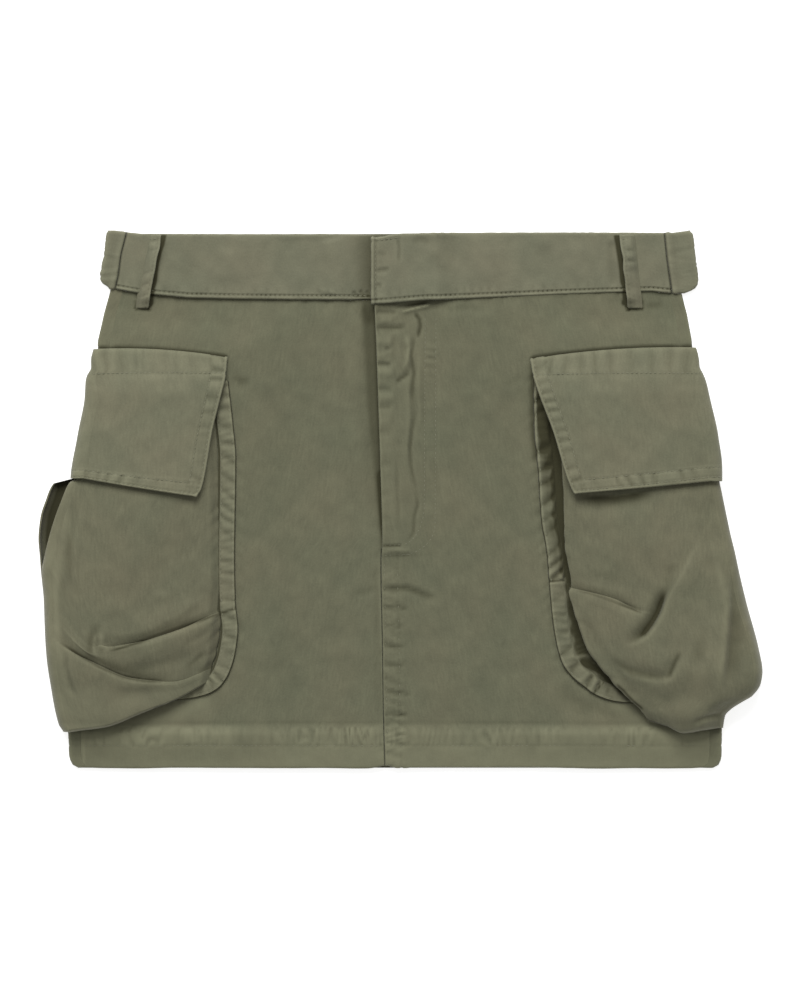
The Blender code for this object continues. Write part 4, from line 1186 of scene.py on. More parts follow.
def back_panel(sizes):
    """The back, round both side folds to the side seams on the front."""
    rows = stations(HEM_LOW, PANEL_TOP, 1, 3, (HEM_ZONE, (92, 101), WAIST_ZONE))
    nominal = rows[:, None]
    left, right = side_fold(LEFT, nominal), side_fold(RIGHT, nominal)
    seam_left, seam_right = left + SIDE_SEAM_IN + SEAM_CLOSE, right - SIDE_SEAM_IN - SEAM_CLOSE
    x, z, x_in, z_in = wrapped(left, right, seam_left, seam_right, wall(nominal), 3)
    y, y_in = risen(nominal, waist_low(x), SEAM_SHUT), risen(nominal, waist_low(x_in), SEAM_SHUT)
    top = z > wall(nominal)
    from_seam = np.minimum(np.abs(x - left - SIDE_SEAM_IN), np.abs(right - SIDE_SEAM_IN - x))
    fall = np.where(top, edge_drop(from_seam, 0.5) * (0.15 + 0.6 * smooth((HEM_TOP + 2 - y) / 3)), 0)
    hem = edge_drop(rows - HEM_LOW, FOLD_ROUND)[:, None]
    fall = fall + np.where(top, hem, -0.6 * hem)
    outer = lattice(x, y, z + lift(x, y) - fall)
    inner = lattice(x_in, y_in, z_in + lift(x_in, y_in))
    depth = sizes.pucker_depth / MM
    # The underside lies flat, so its creases only go inward.
    hollow = np.where(np.abs(x) < 100, crease_relief(BACK_CREASES, x, y), 0) * 0.6
    hollow = hollow + 0.2 * (1 + noise(201, x, y, 30)) * smooth((y + 150) / 20) * smooth((120 - y) / 20)
    hollow = hollow + depth * 0.5 * (1 + puckers(211, x, y, 9, 0.5)) * band_of(y, -157, -148, 4)
    hollow = hollow + 0.35 * groove(y - HEM_STITCH, 0.9)
    sides = depth * 0.7 * puckers(221, y, x, 9.5, 0.5) * band_of(y, -158, -146, 4)
    sides = sides + 0.2 * noise(222, x, y, 14) - 0.3 * groove(y - HEM_STITCH, 0.9)
    for way in SIDE:
        sides = sides - flap_furrow(way, x, y) * (x * way > 0)
    relief = np.where(top, sides * smooth(from_seam / 4), -np.minimum(hollow, 0.7))
    # Painted shadow above the flaps, and a paler hem.
    tone = np.where(top, above_flaps(x, y), 0) + 0.5 * smooth((HEM_TOP - y) / 3)
    make_piece("back", outer, inner, relief, "panel",
               tone=tone)


def fly_shield():
    """The underlap behind the fly."""
    foot, top = FLY_SHIELD[0].y, FLY_SHIELD[-1].y
    rows, columns = stations(foot, top, 1.6, 3), stations(0, SHIELD_WIDTH, 1.6, 3)
    left, right = read_straight(FLY_SHIELD, "left", rows), read_straight(FLY_SHIELD, "right", rows)
    x = left[:, None] + (right - left)[:, None] * columns / SHIELD_WIDTH
    y = rows[:, None]
    low = CLOTH + 0.1
    fall = edge_drop(np.minimum(columns, SHIELD_WIDTH - columns), 0.4)[None, :] + edge_drop(y - foot, 0.4)
    outer = lattice(x, y, low + 0.6 - np.minimum(fall, 0.5))
    relief = 0.04 * noise(231, x, y, 9)
    make_piece("fly_shield", outer, lattice(x, y, low), relief, "panel")


# Waistband and belt loops.


def band_y(x, share):
    """Height y on the waistband at a share of its height."""
    low = read_straight(WAIST, "low", x)
    return low + share * (read_straight(WAIST, "top", x) - low)


def overlap_drop(x, share):
    """How far the right half's lapped end dips, most at its lower edge."""
    return OVERLAP_DROP * (1 - smooth((x - OVERLAP_X) / (BAND_LAP_FLAT - OVERLAP_X))) * (1 - share)


def band_relief(x, share, depth):
    """Corded lower edge above its stitches, soft upright waves and the folded top."""
    up = share * BAND_HIGH
    relief = 0.45 * noise(301, x, up * 0.35, 21) + 0.24 * noise(302, x, up * 0.6, 9)
    relief = relief * smooth(up / 9) * smooth((BAND_HIGH - up) / 5)
    relief += depth * 0.45 * puckers(311, x, up, 7.4, 0.1) * groove(up - 5, 2.6)
    relief += (0.3 + depth * 0.6 * puckers(321, x, up, 3.2, 0.2)) * groove(up - 1.2, 0.8)
    relief += stitch_line(x, up - BAND_ROW, 0.8)
    relief += depth * 0.4 * puckers(331, x, up, 10, 0.4) * groove(BAND_HIGH - up - 1.5, 2.4)
    return relief


def front_band(way, sizes):
    """A front half of the waistband. The right half laps over the left at the centre."""
    ups = stations(0, BAND_HIGH, 0.45, 1.2, ((0, 4.4),))
    share = (ups / BAND_HIGH)[:, None]
    if way < 0:
        start, stop = read(WAIST_ENDS, "left_seam", share) + GAP / 2, UNDERLAP_X
        nominal = stations(BAND_LEFT, UNDERLAP_X, 0.75, 0.8, ((BAND_LEFT, -16),))
    else:
        start, stop = OVERLAP_X, read(WAIST_ENDS, "right_seam", share) - GAP / 2
        nominal = stations(OVERLAP_X, BAND_RIGHT, 0.75, 0.8, ((OVERLAP_X, BAND_RIGHT),))
    width = nominal[-1] - nominal[0]
    along = (nominal - nominal[0]) / width
    x = start + (stop - start) * along
    y = band_y(x, share)
    side = x - OVERLAP_X
    if way < 0:
        rise = 1.2 * (1 - smooth((x + 58) / 34)) * smooth((x - start) / 10)
    else:
        rise = BAND_LAP_RISE * (1 - smooth((x - BAND_LAP_FLAT) / (BAND_LAP_END - BAND_LAP_FLAT)))
        rise = rise + 1.9 * np.exp(-side / 8)
        y = y - overlap_drop(x, share) - 2.6 * share * (1 - smooth(side / 21))
    ends = edge_drop(along * width) + edge_drop((1 - along) * width)
    folds = edge_drop(ups, 0.9) + edge_drop(BAND_HIGH - ups, 1.4)
    fall = np.minimum(ends[None, :] + folds[:, None], 1.6)
    base = BAND + GAP + rise
    outer = lattice(x, y, base + BAND - fall)
    depth = sizes.pucker_depth / MM
    relief = band_relief(x, share, depth) + crease_relief(BAND_CREASES, x, y)
    if way < 0:
        # Pressed flat where the right half lies on it.
        relief = np.where(x > -20, np.minimum(relief, 0), relief) * (1 - 0.9 * smooth((x + 22) / 4))
        relief -= groove(x + 21, 7) * smooth((-x - 17) / 3)
    else:
        relief = relief * smooth(side / 5 + 0.3)
        relief += 0.7 * groove(side - 0.9, 1.1) + stitch_line(y, side - 2.6, 0.7)
        relief += depth * 0.8 * puckers(341, y, side, 8, 0.5) * groove(side, 6)
        top = BAND_HIGH * (1 - share)
        relief += stitch_line(x, top - 2.4, 0.5) * (1 - smooth((x + 1) / 3))
    up = share * BAND_HIGH
    holes = 0.3 + 0.7 * np.cos(math.pi * x / (sizes.stitch_pitch / MM)) ** 4
    holes = holes * (0.8 + 0.8 * noise(323, x, 0, 7))
    # Painted shade in the stitch holes, along the lower edge, beside the loops and, on the left half, in the
    # hollow by the overlap; a dark line at the side seam.
    tone = (-0.15 + 0.35 * noise(325, x, 0, 5)) * groove(up - 1.2, 0.8)
    tone = tone - 1.6 * groove(up - BAND_ROW, 0.55) * holes - 3 * beside_loops(x, y)
    tone = tone - 0.8 * smooth((0.5 - up) / 0.3)
    from_seam = (along if way < 0 else 1 - along) * width
    tone = tone - (1.3 + 0.7 * smooth((24 - up) / 10)) * smooth((1.1 - from_seam) / 0.7)
    if way < 0:
        tone = tone - 1.2 * groove(np.maximum(-19.5 - x, 0), 8)
    make_piece("waistband_" + SIDE[way], outer, lattice(x, y, base), np.maximum(relief, -1.3),
               "band", across_grain=True, tone=tone)


def waistband_back(sizes):
    """The back of the waistband, whose ends come round to the front as plain tabs."""
    ups = stations(0, BAND_HIGH, 1.1, 1.4)
    share = (ups / BAND_HIGH)[:, None]
    left, right = read(WAIST_ENDS, "left_fold", share), read(WAIST_ENDS, "right_fold", share)
    seam_left = read(WAIST_ENDS, "left_seam", share) - GAP / 2
    seam_right = read(WAIST_ENDS, "right_seam", share) + GAP / 2
    x, z, x_in, z_in = wrapped(left, right, seam_left, seam_right, np.full_like(share, BAND), 2.2)
    y, y_in = band_y(x, share), band_y(x_in, share)
    top = z > BAND
    from_seam = np.minimum(np.abs(x - seam_left), np.abs(seam_right - x))
    folds = edge_drop(ups, 1.4)[:, None] + edge_drop(BAND_HIGH - ups, 1.4)[:, None]
    outer = lattice(x, y, z - np.where(top, edge_drop(from_seam) + folds, -0.7 * folds))
    tab = 0.5 * groove(from_seam - 2.4, 1.6) - 0.4 * groove(from_seam - 5.4, 1.6)
    tab = tab + sizes.pucker_depth / MM * 0.5 * puckers(351, y, x, 9, 0.3)
    tab = tab * smooth(from_seam / 1.2) + 0.25 * noise(352, x, y, 12)
    under = -0.2 * (1 + noise(353, x, y, 20)) - 0.4 * groove(share * BAND_HIGH - 3.1, 0.9)
    tone = np.where(top, -1.2 * smooth((0.9 - from_seam) / 0.6) + 0.12 * groove(from_seam - 2.2, 1.2), 0)
    make_piece("waistband_back", outer, lattice(x_in, y_in, z_in), np.where(top, tab, under),
               "band", across_grain=True, tone=tone)


def belt_loop(way, sizes):
    """A loop that bows off the band along its inner edge and lies flush along its outer one."""
    side = SIDE[way]
    rows = stations(LOOPS[0].y, LOOPS[-1].y, 0.6, 0.7)
    columns = stations(0, LOOP_WIDTH, 0.5, 0.6)
    middle = read(LOOPS, side, rows)
    below = np.where(rows < 127.5, [float(front_top(m, y)) for m, y in zip(middle, rows)], BAND + GAP + BAND)
    below = blurred(np.repeat(below[:, None], 3, axis=1), 26)[:, 1:2]
    bow = read(LOOPS, "rise", rows)[:, None]
    along = (rows - LOOPS[0].y)[:, None]
    inside = (columns if way > 0 else LOOP_WIDTH - columns)[None, :]
    spread = (1.09 if way > 0 else 1) * (1 - 0.16 * np.clip(1 - along / 1.8, 0, 1) ** 2)
    x = middle[:, None] + (columns - LOOP_WIDTH / 2) * spread
    x = x + 0.7 * noise(401 + way, along, 0, 7) * smooth((5 - inside) / 5)
    y = rows[:, None]
    lean = 1 - smooth(inside / LOOP_WIDTH)
    belly = np.sin(np.clip((along - 3) / 42, 0, 1) * math.pi)
    low = below + 0.05 + bow * (0.1 + 1.2 * lean) + 2.6 * lean * belly
    thick = LOOP * (0.2 + 0.8 * smooth((LOOP_WIDTH - inside) / 3.5))
    fall = edge_drop(np.minimum(columns, LOOP_WIDTH - columns), 0.8)[None, :]
    fall = fall + edge_drop(np.minimum(rows - rows[0], rows[-1] - rows), 0.8)[:, None]
    outer = lattice(x, y, low + thick - np.minimum(fall, 0.75 * thick))
    depth = sizes.pucker_depth / MM
    relief = depth * 1.4 * puckers(411 + way, along, inside, 7.8, 0.2) * groove(inside - 4.6, 2.8)
    relief = relief * band_of(along, 9, 44, 3)
    relief += stitch_line(along, inside - 1.9, 0.3)
    make_piece("belt_loop_" + side, outer, lattice(x, y, low), np.maximum(relief, -0.55 * thick),
               "band")


# Pockets.


def side_x(way, y):
    """Where the roll of a pocket's side fold starts."""
    return read(SIDES[way], "x", y) - way * read(SIDES[way], "roll", y)


def fold_round(slope, wide, deep, steps):
    """Upper half of a side fold that leaves the cloth at its own slope: its reach outward and its height."""
    lean = np.zeros_like(slope)
    for _ in range(5):
        out, tall = wide / (1 - np.sin(lean)), deep / np.cos(lean)
        lean = np.arctan(np.clip(-slope, 0, 0.8) * out / tall)
    out, tall = wide / (1 - np.sin(lean)), deep / np.cos(lean)
    turn = (math.pi / 2 - lean) * np.linspace(1, 0, steps + 1)[1:]
    return out * (np.cos(turn) - np.sin(lean)), tall * np.sin(turn)


def last_slope(x, z):
    """Slope outward of a lattice at its last column."""
    return (z[:, -1:] - z[:, -4:-3]) / np.abs(x[:, -1:] - x[:, -4:-3])


QUARTERS = (0, 0.25, 0.5, 0.75, 1)


def face_lattice(way, step):
    """Lattice of a face before its side fold: x, y, height over the front panel, and the line heights y."""
    values = np.array(FACES[way], float)
    gaps = np.hypot(np.diff(values[:, :5], axis=0), np.diff(values[:, 5:], axis=0)).max(1)
    marks = np.concatenate(((0,), np.cumsum(gaps)))
    lines = stations(0, marks[-1], step, step)
    values = np.stack([spline(marks, place, lines) for place in values.T])
    reach = float(np.abs(side_x(way, -60) - read(EDGES[way], "x", -60)))
    across = stations(0, reach, step, step * 1.15)
    shares = (across / reach)[None, :]
    y = spline(QUARTERS, values[:5, :, None], shares)
    h = spline(QUARTERS, values[5:, :, None], shares)
    start = read(EDGES[way], "x", values[0])[:, None]
    stop = side_x(way, values[4])[:, None]
    return start + (stop - start) * shares, y, h, values[4][:, None], lines


def pocket_front(way, sizes):
    """The face of a bag, with its tucks and creases, round to the middle of its side fold."""
    x, y, h, level, lines = face_lattice(way, 1.2)
    in_from_edge = np.abs(x - x[:, :1])
    depth = sizes.pucker_depth / MM
    relief = crease_relief(FACE_CREASES[way], x, y)
    if way < 0:
        # Sewn down along its inner edge.
        h = 0.6 + (h - 0.6) * (0.1 + 0.9 * smooth(in_from_edge / 7 + 0.04))
        relief += depth * 0.6 * puckers(501, y, in_from_edge, 10.5, 0.8) * groove(in_from_edge, 6)
    else:
        relief += depth * 0.6 * puckers(511, y, in_from_edge, 12, 0.8) * groove(in_from_edge, 5)
    shown = smooth((14 - y) / 8)
    relief = relief * (0.1 + 0.9 * shown)
    relief += (0.6 * noise(521 + way, x, y, 34) + 0.3 * noise(531 + way, x, y, 15)) * shown
    relief += 0.1 * noise(541 + way, x, y, 6) * shown
    # Painted light and shade: the table's lines, a painted shadow at the foot's fold with painted light just
    # above it, painted shade in the seam along the left face's sewn edge, painted light on the left face's
    # lower part and its side roll, and painted shade along the right face's inner edge under the flap.
    tone = crease_relief(FACE_SHADES[way], x, y)
    from_foot = lines[-1] - lines[:, None]
    tone = tone - 2.4 * smooth((0.7 - from_foot) / 0.3)
    tone = tone + (0.8 if way < 0 else 0.4) * groove(from_foot - 2.6, 2.2)
    if way < 0:
        seam = np.interp(y, (-124, -118, -44, -30, 40), (0, 1.7, 1.5, 0.5, 0.4))
        seam = seam * (1 + 0.5 * noise(561, y, 0, 16))
        tone = tone - seam * smooth((0.75 - in_from_edge) / 0.4) - 0.3 * seam * groove(in_from_edge, 1.8)
        tone = tone + 0.3 * smooth((-y - 118) / 10) + 0.3 * smooth((-x - 210) / 14) * shown
    else:
        tone = tone - 0.6 * groove(in_from_edge, 1.8) * band_of(y, -48, 10, 8)
    z = front_top(x, y) + h
    seam, wide = read(SIDES[way], "seam", level), read(SIDES[way], "roll", level)
    turn = np.radians(np.linspace(90, 0, 11))[None, 1:]
    surfaces = []
    for layer in (0, CLOTH):
        reach, rise = fold_round(last_slope(x, z), wide - layer, z[:, -1:] - layer - seam, turn.shape[1])
        surfaces.append((joined(x, x[:, -1:] + way * reach), joined(z - layer, seam + rise)))
    (outer_x, outer_z), (inner_x, inner_z) = surfaces
    outer_z[:, :x.shape[1]] -= edge_drop(in_from_edge, 0.9)
    # The foot turns under.
    foot = np.clip(lines - lines[-1] + 1.8, 0, 1.8)[:, None] / 1.8
    outer_z = outer_z - 1.5 * (1 - np.sqrt(1 - (0.98 * foot) ** 2))
    y = joined(y, np.broadcast_to(level, reach.shape))
    relief, tone = (joined(part, np.repeat(part[:, -1:], turn.shape[1], axis=1) * np.sin(turn))
                    for part in (relief, tone))
    inner = lattice(inner_x, y, np.minimum(inner_z, outer_z - 0.5))
    # The inner cloth takes painted shade.
    make_piece("pocket_front_" + SIDE[way], lattice(outer_x, y, outer_z), inner, relief, "pocket",
               tone=tone, inner_painted_shading=-1, hollow=True)


def pocket_back(way, _sizes):
    """The half of the bag that lies pressed flat under the back panel."""
    table = SIDES[way]
    level = stations(table[0].y, table[-1].y, 1.4, 1.8)[:, None]
    rim, rim_z, wide = (read(table, name, level) for name in ("rim", "rim_z", "roll"))
    stop = rim - way * wide
    edge = way * BACK_EDGE_POCKET
    share = np.linspace(0, 1, 46)[None, :]
    flat = edge + (stop - edge) * share
    turn = np.radians(np.linspace(-90, 0, 10))[None, 1:]
    y = level + np.maximum(0, (table[0].y + 22 - level) * (1 - share) * 0.8)
    y = joined(y, np.broadcast_to(level, (len(level), turn.shape[1])))
    surfaces = []
    for layer in (0, CLOTH):
        roll_x = stop + way * (wide - layer) * np.cos(turn)
        roll_z = rim_z + (rim_z - POCKET_BACK - layer) * np.sin(turn)
        flat_z = np.full_like(flat, POCKET_BACK + layer)
        surfaces.append(lattice(joined(flat, roll_x), y, joined(flat_z, roll_z)))
    outer, inner = surfaces
    relief = -0.15 * (1 + noise(551 + way, outer[..., 0], y, 16))
    # The inside shows beside the face: painted light along the rim, painted shade under the face and at the
    # mouth.
    inner_painted_shading = 0.3 - 2.9 * smooth((way * (rim - inner[..., 0]) - 2.4) / 3.6) - 2.6 * smooth((y - 7.4) / 1.6)
    make_piece("pocket_back_" + SIDE[way], outer, inner, relief, "pocket",
               inner_painted_shading=inner_painted_shading)


def over_face(way, x, y):
    """Height over the front panel of a face's upper part, where its lines are level."""
    rows = FACES[way][:5][::-1]
    y = np.minimum(y, rows[-1].y0)
    start = read(EDGES[way], "x", y)
    share = np.clip((x - start) / (side_x(way, y) - start), 0, 1)
    heights = np.stack([spline(QUARTERS, row[5:10], share) for row in rows])
    return spline([row.y0 for row in rows], heights, y)


# The first of the seeds of each flap's own noise.
FLAP_SEED = {LEFT: 601, RIGHT: 651}


def pocket_flap(way, sizes):
    """A flap sewn along its top, over the face, round the side fold and flat underneath."""
    values = np.array(FLAPS[way], float)
    marks = marks_along(values[:, :2])
    deep = marks[-1]
    downs = stations(0, deep, 1, 1.25, ((0, 12), (deep - 12, deep)))
    x_in, y_in, x_side, y_side, bow, settle, stand, wide = (
        spline(marks, place, downs)[:, None] for place in values.T)
    stop = x_side - way * wide
    breadth = float(np.abs(stop - x_in).mean())
    across = stations(0, breadth, 1, 1.3, ((0, 12),))[None, :]
    share = across / breadth
    x = x_in + (stop - x_in) * share
    y = y_in + (y_side - y_in) * share + bow * 4 * share * (1 - share)
    down = downs[:, None]
    low = deep - down
    off = stand * (1 - smooth(share / 0.45)) + 1.3 * np.exp(-low / 7) * smooth(across / 4 + 0.6)
    off = off + 0.9 * np.exp(-across / 6) * settle
    z = front_top(x, y) + GAP + (over_face(way, x, y) + FLAP_AIR - GAP) * settle + off + FLAP
    turn = np.radians(np.linspace(90, -90, 17))[None, 1:]
    below = turn[:, 8:]
    half = z[:, -1:] / 2
    under = stop + (way * BACK_EDGE_FLAP - stop) * np.linspace(0, 1, 32)[None, 1:]
    zero = np.zeros_like(under)
    surfaces = []
    for layer in (0, FLAP):
        reach, rise = fold_round(last_slope(x, z), wide - layer, half - layer, 8)
        roll_x = stop + way * joined(reach, (wide - layer) * np.cos(below))
        roll_z = half + joined(rise, (half - layer) * np.sin(below))
        surfaces.append((joined(x, roll_x, under), joined(z - layer, roll_z, zero + layer)))
    (outer_x, outer_z), (inner_x, inner_z) = surfaces
    fall = edge_drop(across, 1.1) + edge_drop(down, 1.1) + edge_drop(low, 1.1)
    outer_z[:, :x.shape[1]] -= np.minimum(fall, 1.5)
    y = joined(y, np.broadcast_to(y_side, (len(downs), turn.shape[1] + under.shape[1])))
    inside = joined(across, breadth + np.cumsum(np.broadcast_to(wide * math.pi / 16, roll_x.shape), axis=1),
                    np.broadcast_to(breadth + 30, under.shape))
    LATTICE_MARKS["pocket_flap_" + SIDE[way]] = np.broadcast_arrays(down, low, inside)
    upper = np.broadcast_to(smooth(np.sin(turn) * 1.5), roll_x.shape)
    shown = joined(np.ones_like(x), upper, zero)
    relief, tone = flap_relief(way, outer_x, y, down, low, inside, sizes.pucker_depth / MM)
    seed = FLAP_SEED[way]
    relief = relief * shown - 0.2 * (1 + noise(seed + 40, outer_x, y, 18)) * (1 - shown)
    make_piece("pocket_flap_" + SIDE[way], lattice(outer_x, y, outer_z), lattice(inner_x, y, inner_z), relief,
               "flap", tone=tone * shown)


def flap_relief(way, x, y, down, low, inside, depth):
    """Relief and tone of a flap: a soft field inside puckered borders and rows of stitches. down, low and
    inside are the distances from its top, its foot and its inner edge."""
    seed = FLAP_SEED[way]
    field = smooth((low - 9.6) / 3) * smooth((down - 10) / 3) * smooth((inside - 9.5) / 3)
    relief = field * (0.5 * noise(seed, x, y, 30) + 0.22 * noise(seed + 1, x, y, 12))
    relief = relief - 0.3 * field
    relief = relief + crease_relief(FLAP_CREASES, x, y) * field
    blobs = puckers(seed + 10, down, inside, 8.2, 0.2) * band_of(inside, 2.6, 8.4, 1.6)
    blobs = blobs * smooth((low - 4) / 6)
    hem = band_of(low, 2.4, 8.8, 1.6) * smooth((inside - 3) / 5) * puckers(seed + 20, inside, low, 10.4, 0.2)
    head = band_of(down, 1, 9.6, 1.4) * smooth((inside - 3) / 5)
    head = head * (0.25 + puckers(seed + 30, inside, down, 8 if way < 0 else 11, 0.15))
    relief += depth * 1.3 * blobs
    relief += depth * hem
    relief += depth * 0.5 * head
    # Painted shade over the whole right flap, painted light and shade on the puckers, and paler rolled edges.
    tone = (-0.18 if way > 0 else 0) + 0.45 * np.clip(blobs, -0.4, 1) + 0.25 * hem + 0.3 * head
    foot = groove(low - 0.7, 0.6) * smooth((60 - inside) / 30 + 0.4)
    tone = tone + 0.55 * (groove(inside - 0.7, 0.6) + foot)
    relief += sum(stitch_line(down, inside - row) for row in FLAP_SIDE_ROWS) * smooth((low - 1.5) / 2)
    relief += sum(stitch_line(inside, low - row) for row in FLAP_FOOT_ROWS) * smooth((inside - 1.5) / 2)
    relief += stitch_line(inside, down - FLAP_HEAD_ROW, 0.7)
    relief += 0.4 * (groove(inside - 0.8, 0.8) + groove(low - 0.8, 0.8)) + 0.35 * groove(down - 1.2, 1.6)
    return relief, tone


def gusset(way, sizes):
    """The gusset's edge, folded and sewn to the panel, with the cloth that rises toward the face."""
    values = np.array(GUSSETS[way], float)
    marks = marks_along(values[:, :2])
    lengths = stations(0, marks[-1], 1, 1.2)
    along = lengths[:, None]
    x, y, reach, rise = (spline(marks, place, lengths) for place in values.T)
    run_x, run_y = np.gradient(x, lengths), np.gradient(y, lengths)
    size = np.hypot(run_x, run_y)
    run_x, run_y = (np.convolve(np.pad(run / size, 6, mode="edge"), np.ones(13) / 13, mode="valid")[:, None]
                    for run in (run_x, run_y))
    flat = stations(0, GUSSET_WIDTH, 0.7, 0.9)[None, :]
    beyond = np.linspace(0, 1, 13 if way > 0 else 4)[None, 1:]
    extra = 3.5 if way > 0 else 0
    away = joined(flat, GUSSET_WIDTH + (reach[:, None] + extra * smooth(rise / 2)[:, None]) * beyond)
    share = joined(np.zeros_like(flat), beyond)
    # A quarter turn from the way down the line points into the pocket.
    px = x[:, None] - way * run_y * away
    py = y[:, None] + way * run_x * away
    base = front_top(px, py) + GAP + rise[:, None] * share**3
    # The left strip lies thin and flat where it runs under the face.
    covered = smooth((-146 - px) / 8) if way < 0 else 0
    thick = (BINDING + (0.7 - BINDING) * smooth(share * 4)) * (1 - 0.45 * covered)
    outer = lattice(px, py, base + thick - edge_drop(away, 1.2))
    depth = sizes.pucker_depth / MM
    strip = band_of(away, 1.6, 8.8, 1.8)
    seed, pitch, strength = (701, 9.6, 1) if way < 0 else (751, 11.6, 2.3)
    joint, sunk = (143, 0.5) if way < 0 else (131, 1)
    patchy = (0.65 if way < 0 else 1) + 0.5 * noise(seed + 5, along, 0.4 * away, 16)
    pucker = patchy * puckers(seed, along, away, pitch, 0.5) * strip
    if way > 0:
        pucker = pucker * (1 - 0.85 * band_of(along, 132, 160, 3))
    relief = depth * strength * pucker
    relief += depth * 0.5 * puckers(seed + 10, along, away, 5.2, -0.2) * strip
    relief += sum(stitch_line(along, away - row) for row in GUSSET_ROWS) * (0.6 if way < 0 else 0.3)
    relief -= 0.9 * groove(away - GUSSET_WIDTH - 0.4, 1.1) * sunk
    relief -= 0.8 * groove(along - joint, 0.8) * (1 - smooth((away - 10) / 3))
    relief += 0.35 * groove(along - joint - 1.8, 1.4) * strip
    if way > 0:
        relief += 0.5 * crease_relief(GUSSET_CREASES, px, py) * smooth((away - 7) / 4)
    relief = np.maximum(relief, -0.5 * thick) * (1 - covered)
    if way < 0:
        # Painted shade along the strip's inner edge by the face, and painted light and shade on the puckers.
        tone = -1.4 * smooth((away - GUSSET_WIDTH + 0.5) / 0.5) + 0.5 * pucker
    else:
        # Painted shade under the flap and toward the face, with an uneven border where the puckers end.
        heights = (-135, -112, -100, -60, 0, 40, 60)
        deep = np.interp(py, heights, (1.2, 1.3, 2.1, 2, 1.7, 2.2, 2.6))
        border = 7 + 1.7 * noise(seed + 9, along, 0, 6) + 3.4 * smooth((along - 129) / 2)
        tone = -deep * smooth((away - border) / 2.2)
        shade = np.interp(py, (-50, 0, 22, 42, 60), (0.2, 0.8, 1.6, 2.9, 3.4))
        tone = tone - shade * smooth((away - 1.2) / 2)
        mottle = (0.5 + noise(seed + 7, along, away, 6.5)) * smooth((away - 3) / 4)
        tone = tone - np.clip(mottle, 0, 1.4) * strip * smooth((131 - along) / 3) + 0.55 * pucker
        ribs = puckers(793, along, away, 4.8, 0.1) * smooth((away - border - 1) / 2)
        tone = tone + 0.25 * (ribs * smooth((-55 - py) / 6))
    # Painted shade and light along lines, a painted shadow line along the sewn edge and a paler line inside
    # it.
    tone = tone + crease_relief(GUSSET_SHADES[way], px, py)
    tone = tone - 3 * smooth((0.85 - away) / 0.35) + 0.5 * groove(away - 1.4, 0.6)
    make_piece("pocket_gusset_" + SIDE[way], outer, lattice(px, py, base), relief, "gusset",
               tone=tone)


# Stitching.


# A stitch is a tube of six sides. Its rings: share of its length, size, and rise in thread radii.
THREAD_SIDES = 6
THREAD_RINGS = ((0, 0.35, -0.5), (0.12, 0.85, 0.1), (0.5, 1, 0.35), (0.88, 0.85, 0.1), (1, 0.35, -0.5))

# Where the stitches' places are felt from, and which way.
ABOVE_ALL = 80
DOWN = (0, 0, -1)


def thread_rows(piece_name, paths, sizes, kind, sunk=0):
    """Rows of stitches that follow the surface of a piece. paths are lines of (x, y) in millimetres, and sunk
    is how many thread radii the rows lie pulled into the cloth."""
    points = LATTICES[piece_name]
    quads = grid_faces(*points.shape[:2])[1]
    tree = BVHTree.FromPolygons(points.reshape(-1, 3).tolist(), quads.tolist())
    length = sizes.stitch_length / MM
    stitches = []
    for path in paths:
        path = np.array(path, float)
        marks = marks_along(path)
        for place in np.arange(0.4, marks[-1] - length, sizes.stitch_pitch / MM):
            ends = [[np.interp(at, marks, path[:, c]) for c in (0, 1)] for at in (place, place + length)]
            (start, up, *_), (end, last_up, *_) = (tree.ray_cast((x, y, ABOVE_ALL), DOWN) for x, y in ends)
            if start is not None and end is not None:
                up, last_up = (normal if normal.z > 0 else -normal for normal in (up, last_up))
                stitches.append((start, end, (up + last_up) / 2))
    starts, ends, ups = np.array(stitches, float).swapaxes(0, 1)
    radius = sizes.thread_width / MM / 2
    run = ends - starts
    across = np.cross(run, ups)
    across /= np.linalg.norm(across, axis=1, keepdims=True)
    up = np.cross(across, run)
    up /= np.linalg.norm(up, axis=1, keepdims=True)
    turns = np.arange(THREAD_SIDES) * 2 * math.pi / THREAD_SIDES
    rings = []
    for share, size, rise in THREAD_RINGS:
        middle = starts + run * share + up * radius * (rise - sunk)
        rings.append(middle[:, None] + radius * size * (
            across[:, None] * np.cos(turns)[None, :, None] + up[:, None] * np.sin(turns)[None, :, None]))
    points = np.stack(rings, axis=1)
    local = np.arange(len(rings) * THREAD_SIDES).reshape(len(rings), THREAD_SIDES)
    walls = np.stack((local[:-1], np.roll(local[:-1], -1, 1), np.roll(local[1:], -1, 1), local[1:]), -1)
    caps = [local[0][[3, 2, 1, 0]], local[0][[0, 5, 4, 3]], local[-1][[0, 1, 2, 3]], local[-1][[3, 4, 5, 0]]]
    faces = np.concatenate((walls.reshape(-1, 4), caps))
    polygons = (faces[None] + (np.arange(len(starts)) * local.size)[:, None, None]).reshape(-1, 4)
    piece = mesh_object("stitching_" + piece_name.removeprefix("pocket_"), points.reshape(-1, 3), polygons)
    piece.data.materials.append(shared_finish("thread"))
    finish_piece(piece, KINDS[kind].slot)


def marked_path(points, marks, value, other, low, high):
    """A line over a lattice where its marks have a value, between limits of its other marks."""
    if marks[0, 0] == marks[0, -1]:
        points, marks, other = points.swapaxes(0, 1), marks.T, other.T
    path = []
    for line, at, limit in zip(points, marks, other[:, 0]):
        if low <= limit <= high:
            order = np.argsort(at, kind="stable")
            path.append([np.interp(value, at[order], line[order, c]) for c in (0, 1)])
    return path


